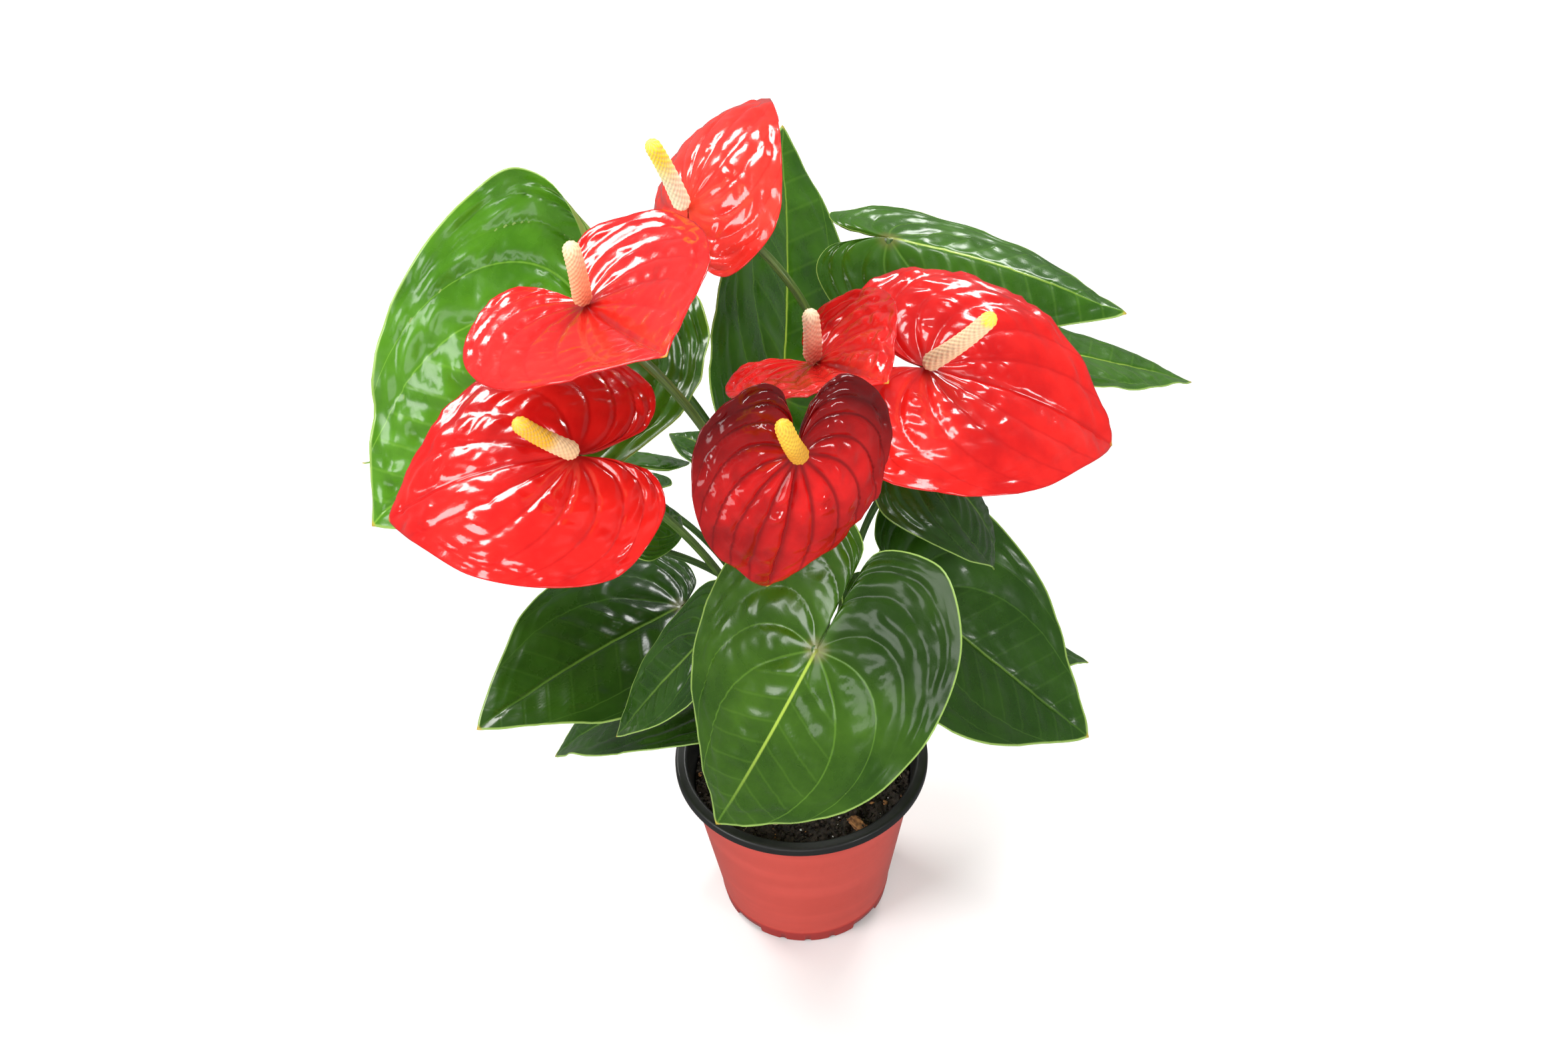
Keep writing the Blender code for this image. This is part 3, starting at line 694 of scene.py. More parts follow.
@dataclass(frozen=True)
class Blade:
    """One heart-shaped blade: where its stem meets it, how it is turned and how it is bent.

    Lengths are millimetres and angles are degrees.  The heading is the midrib's turn from +X, the
    pitch its rise, and the roll the blade's turn about it.  Width and lobe are the half width and
    the reach behind the stem, as shares of the length.  Each half (left, right) leaves the midrib
    at its fold angle and gains its cup angle over half a length.  Droop bends the front down over
    one length, and lift raises the lobes.  The stem bows sideways by (x, y) at half its height.
    Notch narrows the gap between the lobes below 1.  Quilt multiplies the relief.  Curl rolls the
    margin up and back over the blade: the middle and the spread of the rolled stretch as angles
    about the stem, the rolled share of the way in from the margin, and how far it turns.
    """

    name: str
    tone: Tone
    joint: tuple[float, float, float]
    heading: float
    pitch: float
    roll: float
    length: float
    width: float
    lobe: float
    fold: tuple[float, float]
    cup: tuple[float, float]
    droop: float
    lift: float
    bow: tuple[float, float]
    notch: float = 1.0
    quilt: float = 1.0
    curl: tuple[float, float, float, float] = (180.0, 1.0, 0.1, 0.0)

    rays = 161
    rings = 44

    @property
    def seed(self) -> int:
        """A seed of the blade's own."""
        return sum(map(ord, self.name))

    def turn(self) -> np.ndarray:
        """The blade's own axes as columns: X along the midrib, Y to its left, Z out of its upper face."""
        heading, pitch, roll = (math.radians(angle) for angle in (self.heading, self.pitch, self.roll))
        turned = Matrix.Rotation(heading, 3, "Z") @ Matrix.Rotation(-pitch, 3, "Y")
        return np.array(turned @ Matrix.Rotation(roll, 3, "X"))

    def margin(self) -> np.ndarray:
        """The flat margin from notch to notch, as (forward, left) shares of the length.

        Formula: a uniform Catmull-Rom curve through the half outline's points, with an end point
        mirrored past each end, and the same curve with left negated for the other half.

        Returns:
            One point for each ray.
        """
        front = [(forward, out * self.width) for forward, out in MARGIN_FRONT]
        lobe = [(-back * self.lobe, out * self.width) for back, out in MARGIN_LOBE]
        lobe += [(-back * self.lobe, out * self.width * self.notch) for back, out in MARGIN_NOTCH]
        knots = np.array(front + lobe + [(NOTCH_END[0], NOTCH_END[1] * self.width)])
        chain = np.concatenate((2.0 * knots[:1] - knots[1:2], knots, 2.0 * knots[-1:] - knots[-2:-1]))
        place = np.linspace(0.0, len(knots) - 1, (self.rays + 1) // 2)
        span = np.minimum(place.astype(int), len(knots) - 2)
        t = (place - span)[:, None]
        a, b, c, d = (chain[span + step] for step in range(4))
        curve = 2.0 * b + (c - a) * t + (2.0 * a - 5.0 * b + 4.0 * c - d) * t ** 2
        half = 0.5 * (curve + (3.0 * b - a - 3.0 * c + d) * t ** 3)
        return np.concatenate((half[::-1], half[1:] * (1.0, -1.0)))

    def relief(self, shape: Relief, ring: np.ndarray, flat: np.ndarray) -> tuple[np.ndarray, dict]:
        """Height of the relief on the flat blade, and the values that the finishes read.

        Formula: a vein's angle about the stem falls with the square of the share of the way to the
        margin, so the angle over (1 - sweep * ring^2) says which veins a point lies between.  That
        number, the phase, is whole on a vein.  The height is a bell-shaped groove on each vein,
        a sine-squared pillow between two veins, a cosine along the ray inside each pillow, a
        cosine across the side veins, a bell-shaped groove along the collective vein, slow waves
        that grow towards the margin, and a fine crumple that may be stronger near the margin.

        Args:
            shape: the kind of relief.
            ring: share of the way from the stem to the margin.
            flat: the flat blade's (forward, left) shares of the length.

        Returns:
            The height in millimetres and the stored values by attribute name.
        """
        along, across = flat[..., 0], flat[..., 1]
        reach = np.hypot(along, across) * self.length
        angle = np.degrees(np.abs(np.arctan2(across, along)))
        shrink = 1.0 - shape.sweep * ring ** 2
        veins = np.array(shape.veins)
        gaps = np.gradient(veins)
        phase = np.interp(angle / shrink, veins, np.arange(len(veins)))
        breadth = reach * np.radians(np.interp(angle / shrink, veins, gaps)) * shrink
        off = np.abs(phase - np.round(phase)) * breadth
        fade = ramp(reach, 2.0, 14.0) * ramp(1.0 - ring, 0.0, 0.16)
        height = -shape.groove * np.exp(-((off / 1.3) ** 2)) * fade
        between = np.abs(np.sin(math.pi * phase)) ** 1.4
        height += shape.pillow * between * fade
        wander = np.stack((along, across, np.zeros_like(along)), -1) * self.length
        beat = math.tau * reach / shape.corrugation_length + 2.1 * np.floor(phase) + np.sign(across)
        beat = beat + 1.3 * ripples(wander, 24.0, self.seed + 1)
        uneven = 0.7 + 0.45 * ripples(wander, 17.0, self.seed + 2)
        inside = between * ramp(reach, 6.0, 24.0) * ramp(1.0 - ring, -0.05, 0.1)
        height += shape.corrugation * uneven * np.cos(beat) * inside
        side = (along - np.abs(across) * 0.62) * 9.0
        inner = ramp(1.0 - np.minimum(phase, 1.2) / 1.2, 0.0, 0.3) * ramp(np.abs(across), 0.0, 0.05)
        height += shape.side_quilt * np.cos(math.tau * side) * inner * fade
        rim = np.abs(ring - 0.90) * np.linalg.norm(flat[-1:], axis=-1) * self.length
        height -= shape.collective * np.exp(-((rim / 1.4) ** 2)) * ramp(reach, 12.0, 25.0)
        height += shape.edge_wave * ripples(wander, 26.0, self.seed) * ring ** 3
        crumple = ripples(wander, 8.5, self.seed + 3) + 0.5 * ripples(wander, 4.2, self.seed + 4)
        crumple = crumple * (1.0 + shape.rim_gain * ramp(ring, 0.76, 0.90) * ramp(1.0 - along, 0.1, 0.4))
        height = height * self.quilt + shape.crumple * min(self.quilt, 1.0) * crumple * ramp(reach, 4.0, 18.0)
        span = np.full_like(along, self.length)
        values = {"phase": phase, "breadth": breadth, "ring": np.broadcast_to(ring, along.shape)}
        return height, values | {"along": along, "across": across, "span": span, "reach": reach}

    def bend(self, flat: np.ndarray, proud: np.ndarray) -> np.ndarray:
        """Bend the flat blade into its true shape, in metres in the shared frame.

        Formula: each half is an arc across the midrib that starts at its fold angle and turns
        steadily by its cup; the midrib is an arc that droops in front and lifts behind; the arc
        across stands on the midrib's own normal, and a height on the blade is added along the
        normal of the arc across.

        Args:
            flat: (forward, left) shares of the length.
            proud: height over the blade's middle surface, in millimetres.

        Returns:
            The points.
        """
        forward, left = flat[..., 0] * self.length, flat[..., 1] * self.length
        side = (left < 0.0).astype(int)
        fold = np.radians(np.array(self.fold)[side])
        cup = np.radians(np.array(self.cup)[side]) / (0.5 * self.length)
        cup = np.where(np.abs(cup) < 1e-6, 1e-6, cup)
        lean = fold + cup * np.abs(left)
        soft = ramp(np.abs(left), 0.0, 2.5)
        across = (np.sin(lean) - np.sin(fold)) / cup - proud * np.sin(lean) * soft
        rise = (np.cos(fold) - np.cos(lean)) / cup + proud * np.cos(lean * soft)
        bend = np.radians(np.where(forward >= 0.0, -self.droop, self.lift)) / self.length
        bend = np.where(np.abs(bend) < 1e-6, 1e-6, bend)
        slope = np.abs(forward) * bend * np.sign(forward)
        run = np.sin(np.abs(forward) * bend) / bend
        height = (1.0 - np.cos(np.abs(forward) * bend)) / bend
        local = np.stack(
            (
                np.copysign(run, forward) - rise * np.sin(slope),
                np.copysign(across, left),
                height + rise * np.cos(slope),
            ),
            -1,
        )
        return (local @ self.turn().T + np.array(self.joint)) * MM

    def roll_margin(
        self, margin: np.ndarray, ring: np.ndarray, height: np.ndarray, off: np.ndarray
    ) -> tuple[np.ndarray, np.ndarray]:
        """Roll a stretch of the margin up into an arc that goes over and back.

        Formula: past the start of the rolled share, a ray's length winds onto a circle whose
        radius is that length over the turn; a bell over the ray's angle weakens the turn; and the
        offset from the middle surface turns with the arc.

        Args:
            margin: the flat margin's points.
            ring: share of the way to the margin.
            height: height of the relief in millimetres.
            off: signed offset from the middle surface in millimetres.

        Returns:
            The flat points and their heights over the blade's middle surface.
        """
        middle, spread, share, turn = self.curl
        reach = np.linalg.norm(margin, axis=-1)[None] * self.length
        angle = np.degrees(np.arctan2(margin[:, 1], margin[:, 0]))[None]
        full = np.radians(turn) * np.exp(-(((angle - middle) / spread) ** 2)) + 1e-6
        radius = share * reach / full
        past = np.maximum(ring - (1.0 - share), 0.0) * reach
        wound = past / radius
        length = ring * reach - past + radius * np.sin(wound) - off * np.sin(wound)
        lift = height + radius * (1.0 - np.cos(wound)) + off * np.cos(wound)
        return margin[None] * (length / reach)[..., None], lift

    def build(self, skin: Skin, shape: Relief, thickness: float) -> None:
        """Add the blade to a skin as one closed sheet, with the upper face first.

        Formula: point(ray, ring) = ring share * margin point(ray), bent, with half the thickness
        added on the upper side and taken off on the lower one; the sheet thins to half towards
        the margin.

        Args:
            skin: the mesh that is being gathered.
            shape: the kind of relief.
            thickness: the sheet's thickness in millimetres.
        """
        margin = self.margin()
        share = 1.0 - (1.0 - np.linspace(0.0, 1.0, self.rings + 1)[1:]) ** 1.15
        ring = share[:, None]
        flat = margin[None] * ring[..., None]
        height, values = self.relief(shape, ring, flat)
        half = 0.5 * thickness * (1.0 - 0.5 * ramp(ring, 0.8, 1.0))
        upper = self.bend(*self.roll_margin(margin, ring, height, half))
        lower = self.bend(*self.roll_margin(margin, ring, height, -half))[::-1]
        poles = self.bend(np.zeros((2, 2)), np.array([0.5, -0.5]) * thickness)
        rows = 2 * self.rings
        index = np.arange(rows * self.rays).reshape(rows, self.rays) + 2
        top = np.concatenate((np.zeros((1, self.rays), int), index[:self.rings]))
        under = np.concatenate((np.ones((1, self.rays), int), index[:self.rings - 1:-1]))
        left = np.stack((top[:-1, 0], top[1:, 0], under[1:, 0], under[:-1, 0]), -1)
        right = np.stack((top[1:, -1], top[:-1, -1], under[:-1, -1], under[1:, -1]), -1)
        first = np.stack((top[0, 1:], index[0, 1:], index[0, :-1]), -1)
        last = np.stack((index[-1, :-1], index[-1, 1:], under[0, 1:]), -1)
        faces = [
            (first, 0), (quads(index[:self.rings + 1]), 0), (left, 0), (right, 0),
            (quads(index[self.rings:]), 1), (last, 1),
        ]
        stored = {}
        for key, value in values.items():
            ends = np.full(2, value[0].mean() if key in ("span", "ring") else 0.0)
            stored[key] = np.concatenate((ends, value.ravel(), value[::-1].ravel()))
        skin.patch(np.concatenate((poles, upper.reshape(-1, 3), lower.reshape(-1, 3))), faces, stored)


@dataclass(frozen=True)
class Leaf:
    """A leaf's blade, made and dressed."""

    blade: Blade
    thickness: float = 0.9

    def build(self) -> bpy.types.Object:
        """Make the blade's mesh with its upper and lower finish.

        Returns:
            The blade's object.
        """
        skin = Skin(self.blade.name + "_leaf_blade")
        self.blade.build(skin, LEAF_RELIEF, self.thickness)
        return skin.write(LEAF_MATERIALS[self.blade.tone], UNDERSIDES["leaf"])

    def dress(self) -> None:
        """Build the piece and put it in its node's place."""
        settle(self.build(), "leaf_green", "leaf_" + self.blade.name)


@dataclass(frozen=True)
class Spathe:
    """A flower's spathe, made and dressed."""

    blade: Blade
    thickness: float = 1.1

    def build(self) -> bpy.types.Object:
        """Make the spathe's mesh with its upper and lower finish.

        Returns:
            The spathe's object.
        """
        skin = Skin(self.blade.name + "_spathe_blade")
        self.blade.build(skin, SPATHE_RELIEF, self.thickness)
        return skin.write(SPATHE_MATERIALS[self.blade.tone], UNDERSIDES["spathe"])

    def dress(self) -> None:
        """Build the piece and put it in its node's place."""
        settle(self.build(), "spathe_red", "spathe_" + self.blade.name)


# ---------------------------------------------------------------------------------------------
# Stems and spadices
# ---------------------------------------------------------------------------------------------


def tube(
    route: np.ndarray, radii: np.ndarray, steps: int, aside: np.ndarray
) -> tuple[np.ndarray, np.ndarray]:
    """Rings round a route.

    Formula: point(along, round) = route + radius * (cos(round) * side + sin(round) * other), with
    side the given direction made square to the route's tangent, and other square to both.

    Args:
        route: points along the middle, in metres.
        radii: a radius for each, or for each and each step round.
        steps: how many points go round.
        aside: a direction that the route never runs along.

    Returns:
        The rings, and the angle round for each step.
    """
    tangent = unit(np.gradient(route, axis=0))
    side = unit(aside - (tangent @ aside)[:, None] * tangent)
    other = np.cross(tangent, side)
    angle = np.linspace(0.0, math.tau, steps, endpoint=False)
    ring = np.cos(angle)[None, :, None] * side[:, None] + np.sin(angle)[None, :, None] * other[:, None]
    size = radii[..., None] if radii.ndim == 2 else radii[:, None, None]
    return route[:, None] + ring * size, angle


def even(route: np.ndarray, count: int, passes: int) -> np.ndarray:
    """A route with evenly spaced points, softened.

    Formula: points at equal steps of the length along the line, and then each inner point moves
    to half of itself plus a quarter of each neighbour, a number of times.

    Args:
        route: points along the line.
        count: how many points come out.
        passes: how often the line is softened.

    Returns:
        The new points.
    """
    lengths = np.concatenate(([0.0], np.cumsum(np.linalg.norm(np.diff(route, axis=0), axis=1))))
    steps = np.linspace(0.0, lengths[-1], count)
    line = np.stack([np.interp(steps, lengths, route[:, axis]) for axis in range(3)], -1)
    for _ in range(passes):
        line[1:-1] = 0.5 * line[1:-1] + 0.25 * (line[:-2] + line[2:])
    return line


MIX_RADII = (0.0, 22.0, 40.0, 51.0)
MIX_HEIGHTS = (81.0, 80.2, 77.0, 76.0)


def mix_height(radius: np.ndarray) -> np.ndarray:
    """Height of the potting mix at a distance from the middle, both in millimetres."""
    return np.interp(radius, MIX_RADII, MIX_HEIGHTS)


@dataclass(frozen=True)
class Stem:
    """A stem from the potting mix to a blade, in millimetres."""

    blade: Blade
    order: int
    radius: float
    kind: str

    spacing = 4.6
    knee = 9.0
    start_gap = 1.5
    sunk = 4.0

    def route(self) -> np.ndarray:
        """The middle line, from inside the mix to inside the blade, in metres.

        Formula: a Hermite curve from the stem's place in a sunflower spiral, leaving straight up,
        to the knee under the blade, arriving along a mean of the blade's normal, the way outwards
        and up; plus a bow of 4t(1 - t); then straight along the blade's normal.

        Returns:
            The line's points.
        """
        distance = self.spacing * math.sqrt(self.order + 0.5)
        turn = self.order * GOLDEN_ANGLE
        foot = distance * math.cos(turn), distance * math.sin(turn)
        start = np.array((*foot, float(mix_height(distance)) + self.start_gap))
        joint = np.array(self.blade.joint)
        face = self.blade.turn()[:, 2]
        knee = joint - face * self.knee
        chord = knee - start
        reach = np.linalg.norm(chord)
        outward = unit(chord * (1.0, 1.0, 0.0))
        arrive = unit(face * 0.45 + outward * 0.75 + (0.0, 0.0, 0.45)) * reach * 0.6
        t = np.linspace(0.0, 1.0, 60)[:, None]
        bow = np.array((*self.blade.bow, 0.0))
        main = start + (knee - start) * t * t * (3.0 - 2.0 * t) + bow * 4.0 * t * (1.0 - t)
        main = main + np.array((0.0, 0.0, reach)) * t * (1.0 - t) ** 2 - arrive * t * t * (1.0 - t)
        below = start - (0.0, 0.0, self.sunk)
        above = joint - face * np.linspace(self.knee, 0.1, 8)[1:, None]
        return even(np.concatenate((below[None], main, above)), 96, 14) * MM

    def build(self) -> bpy.types.Object:
        """Make the stem: a slightly ridged tube that swells at its foot and under the blade.

        Formula: radius = the stem's own * (1 + 0.25 * |2t - 1|^3 + 0.18 * a bell near the top
        + 0.03 * cos(five times round)), with t the share of the way up.

        Returns:
            The stem's object.
        """
        route = self.route()
        t = np.linspace(0.0, 1.0, len(route))
        steps = 20
        angle = np.linspace(0.0, math.tau, steps, endpoint=False)
        swell = 1.0 + 0.25 * np.abs(2.0 * t - 1.0) ** 3 + 0.18 * np.exp(-(((t - 0.965) / 0.022) ** 2))
        ridge = 1.0 + 0.03 * np.cos(5.0 * angle + self.order)
        radii = self.radius * MM * swell[:, None] * ridge[None]
        chord = unit(route[-1] - route[0])
        rings, angle = tube(route, radii, steps, unit(np.cross(chord, (chord[1], -chord[0], 0.3))))
        length = np.linalg.norm(np.diff(route, axis=0), axis=1).sum() / MM
        turned = np.cos(angle)[None], np.sin(angle)[None], t[:, None] * length * 0.02
        wrap = np.stack(np.broadcast_arrays(*turned), -1)
        height = np.broadcast_to(t[:, None], rings.shape[:2])
        skin = Skin(self.blade.name + "_" + self.kind + "_stalk")
        skin.column(rings, route[0], route[-1], wrap=wrap, height=height)
        return skin.write(STEM_MATERIALS[self.kind])

    def dress(self) -> None:
        """Build the piece and put it in its node's place."""
        settle(self.build(), "stem_green", self.kind + "_stem_" + self.blade.name)


@dataclass(frozen=True)
class Spadix:
    """The column on a spathe: length in mm, its lean from the face towards the tip and to the left."""

    blade: Blade
    length: float
    lean: float
    side: float

    base_radius = 3.6
    end_radius = 3.0
    seat = 1.45
    spirals = (8, -13)

    def build(self) -> bpy.types.Object:
        """Make the column with its beads.

        Formula: the middle line is straight with a sine sway of three hundredths of the length; the
        radius shrinks evenly and closes as an ellipse at the tip; two families of spirals, eight
        one way and thirteen the other, cross where a bead stands, and a bead's height is the mean
        of their cosines.  The foot widens as a square root over about its own radius.

        Returns:
            The spadix's object.
        """
        lean, side = math.radians(self.lean), math.radians(self.side)
        way = unit(np.array((math.tan(lean), math.tan(side), 1.0)))
        seat = self.seat + 0.6 * self.base_radius * math.sqrt(1.0 - way[2] ** 2)
        t = 1.0 - (1.0 - np.linspace(0.0, 1.0, 131)) ** 1.25
        line = np.array((0.0, 0.0, seat)) + way * self.length * t[:, None]
        line[:, 0] += np.sin(math.pi * t) * self.length * 0.03
        steps = 96
        angle = np.linspace(0.0, math.tau, steps, endpoint=False)
        full = self.base_radius + (self.end_radius - self.base_radius) * t
        close = np.clip((1.0 - t) * self.length / (1.5 * self.end_radius), 0.0, 1.0)
        foot = np.sqrt(np.clip(0.22 + t * self.length / (1.1 * self.base_radius), 0.0, 1.0))
        body = full * np.sqrt(np.maximum(1.0 - (1.0 - close) ** 2, 0.0)) * foot
        climb = t[:, None] * self.length
        first = np.cos(self.spirals[0] * angle[None] + climb * math.tau / 3.9)
        second = np.cos(self.spirals[1] * angle[None] + climb * math.tau / 3.1)
        bead = 0.5 + 0.25 * (first + second)
        grown = 0.48 * (bead - 0.4) * np.sqrt(close)[:, None]
        points = (line @ self.blade.turn().T + np.array(self.blade.joint)) * MM
        radii = (body[:, None] + grown * (body[:, None] > 0.5)) * MM
        rings, _ = tube(points[1:-1], radii[1:-1], steps, self.blade.turn()[:, 1])
        height = np.broadcast_to(t[1:-1, None], rings.shape[:2])
        skin = Skin(self.blade.name + "_spadix_column")
        start = points[0] - self.blade.turn()[:, 2] * seat * 0.8 * MM
        skin.column(rings, start, points[-1], height=height, bead=bead[1:-1])
        return skin.write(SPADIX_FINISHES[self.blade.name].make())

    def dress(self) -> None:
        """Build the piece and put it in its node's place."""
        settle(self.build(), "spadix_cream", "spadix_" + self.blade.name)


# ---------------------------------------------------------------------------------------------
# Pot and potting mix
# ---------------------------------------------------------------------------------------------


def rounded(corners: np.ndarray, radius: float, steps: int) -> np.ndarray:
    """A profile with its corners rounded off.

    Formula: each inner corner becomes a quadratic curve, with the corner as its control point,
    between the points at the radius before and after it, or at 0.45 of a shorter side.

    Args:
        corners: the profile's corners, in order.
        radius: how far from a corner the rounding starts.
        steps: how many points the rounding gets.

    Returns:
        The rounded profile.
    """
    before, at, after = corners[:-2], corners[1:-1], corners[2:]
    back, on = before - at, after - at
    start = at + unit(back) * np.minimum(radius, 0.45 * np.linalg.norm(back, axis=-1))[:, None]
    end = at + unit(on) * np.minimum(radius, 0.45 * np.linalg.norm(on, axis=-1))[:, None]
    t = np.linspace(0.0, 1.0, steps)[None, :, None]
    curve = (1 - t) ** 2 * start[:, None] + 2 * t * (1 - t) * at[:, None] + t * t * end[:, None]
    return np.concatenate((corners[:1], curve.reshape(-1, 2), corners[-1:]))


@dataclass(frozen=True)
class Pot:
    """The thin moulded pot, in millimetres: black inside and on its rim, coloured outside."""

    height: float = 92.0
    rim_radius: float = 60.0
    rim_width: float = 5.2
    rim_depth: float = 4.4
    wall_top_radius: float = 54.5
    foot_radius: float = 40.0
    wall: float = 1.0
    floor_rise: float = 3.5
    notch_angle: float = 22.0
    notch_height: float = 3.2
    drain_radius: float = 1.8
    drain_spread: float = 17.0
    steps: int = 720

    def wall_at(self, height: float) -> float:
        """Outer radius of the tapered wall at a height."""
        top = self.height - self.rim_depth
        return self.foot_radius + (self.wall_top_radius - self.foot_radius) * height / top

    def section(self) -> tuple[np.ndarray, np.ndarray]:
        """The pot's section as (radius, height): down the inside's middle, over the rim and under.

        Returns:
            The rounded profile and, for each band between two of its points, 1 outside and 0 inside.
        """
        under = self.height - self.rim_depth
        rim = self.rim_radius - self.rim_width
        floor = self.floor_rise + self.wall
        corners = [
            (0.5, floor), (self.wall_at(floor) - self.wall, floor),
            (self.wall_at(under) - self.wall, under - 1.5), (rim - 0.8, self.height - 1.6),
            (rim + 0.4, self.height), (self.rim_radius - 1.0, self.height),
            (self.rim_radius, self.height - 0.9), (self.rim_radius, under),
            (self.rim_radius - 0.9, under - 0.1), (self.rim_radius - 1.1, self.height - 1.7),
            (rim + 1.3, self.height - 1.7), (self.wall_top_radius + 0.1, under - 0.4),
            (self.wall_at(8.2) + 0.1, 8.2), (self.wall_at(7.0) + 0.55, 7.2),
            (self.foot_radius + 0.6, 0.5), (self.foot_radius, 0.0), (self.foot_radius - 1.0, 0.0),
            (self.foot_radius - 0.9, self.floor_rise), (20.0, self.floor_rise), (18.0, 0.0), (0.5, 0.0),
        ]
        profile = rounded(np.array(corners), 0.8, 4)
        middle = 0.5 * (profile[1:] + profile[:-1])
        place = np.arange(len(middle))
        turn = int(np.argmin(np.abs(middle[:, 1] - (under - 0.4)) + 9.0 * (place < len(middle) // 2)))
        return profile, (place >= turn).astype(int)

    def lifted(self, angle: np.ndarray) -> np.ndarray:
        """How far the foot's lower edge is raised at an angle round the pot.

        Formula: each quarter has a stand in its middle; between stands the edge is up by the
        notch's height, with a short smooth flank; in each stand three round drain openings raise
        it by the height of a circle about the edge.

        Args:
            angle: angles round the pot, in radians.

        Returns:
            The rise in millimetres at each angle.
        """
        share = np.degrees(angle) % 90.0
        off = np.minimum(share, 90.0 - share)
        edge = 45.0 - self.notch_angle / 2.0
        notch = self.notch_height * ramp(off, edge - 0.8, edge)
        drains = np.zeros_like(angle)
        for centre in (0.0, self.drain_spread):
            reach = np.radians(off - centre) * self.foot_radius
            drains = np.maximum(drains, np.sqrt(np.maximum(self.drain_radius ** 2 - reach ** 2, 0.0)))
        return np.maximum(notch, drains)

    def build(self) -> bpy.types.Object:
        """Make the pot.

        Formula: the section turned about Z, with every height below the foot's raised edge lifted
        to it from the wall's foot outwards.

        Returns:
            The pot's object.
        """
        profile, bands = self.section()
        angle = np.linspace(0.0, math.tau, self.steps, endpoint=False)
        radius, height = (np.repeat(profile[:, axis:axis + 1], self.steps, 1) for axis in (0, 1))
        raised = np.maximum(height, self.lifted(angle)[None])
        height = np.where(radius > self.foot_radius - 1.5, raised, height)
        rings = np.stack((radius * np.cos(angle), radius * np.sin(angle), height), -1) * MM
        ends = np.array(((0.0, 0.0, profile[0, 1]), (0.0, 0.0, profile[-1, 1]))) * MM
        skin = Skin("nursery_pot")
        skin.column(rings, ends[0], ends[1], bands)
        return skin.write(POT_MATERIALS["inside"], POT_MATERIALS["outside"])

    def dress(self) -> None:
        """Build the piece and put it in its node's place."""
        settle(self.build(), "pot_plastic", "grow_pot")


@dataclass(frozen=True)
class Mix:
    """The peaty potting mix and the loose stuff on it, in millimetres."""

    edge_radius: float = 51.2
    foot_radius: float = 39.4
    foot_height: float = 4.9
    rough: float = 0.9
    steps: int = 400

    def top(self, radius: np.ndarray, angle: np.ndarray) -> np.ndarray:
        """Height of the rough surface: the mound plus three random fields of falling size.

        Args:
            radius: distances from the middle.
            angle: angles round it.

        Returns:
            The heights.
        """
        place = np.stack((radius * np.cos(angle), radius * np.sin(angle), np.zeros_like(radius * angle)), -1)
        bumps = ripples(place, 16.0, 1) + 0.7 * ripples(place, 6.0, 2) + 0.5 * np.abs(ripples(place, 2.4, 3))
        return mix_height(radius) + self.rough * bumps * ramp(self.edge_radius + 4.0 - radius, 0.0, 8.0)

    def build(self) -> bpy.types.Object:
        """Make the mix: rings of the rough top, then down along the wall and in over the floor.

        Returns:
            The mix's object.
        """
        radius = np.concatenate((np.linspace(0.4, self.edge_radius, 110), (self.foot_radius, 0.4)))[:, None]
        angle = np.linspace(0.0, math.tau, self.steps, endpoint=False)[None]
        height = self.top(radius, angle)
        height[-2:] = self.foot_height
        flat = (radius * np.cos(angle), radius * np.sin(angle), height)
        rings = np.stack(np.broadcast_arrays(*flat), -1)
        shade = np.clip(0.45 + 0.2 * ripples(rings, 3.0, 5), 0.0, 1.0)
        skin = Skin("peat_mix")
        ends = rings[0].mean(0), rings[-1].mean(0)
        skin.column(rings * MM, ends[0] * MM, ends[1] * MM, shade=shade)
        return skin.write(LITTER_MATERIALS["peat"])

    def dress(self) -> None:
        """Build the piece and put it in its node's place."""
        settle(self.build(), "peat", "potting_mix")


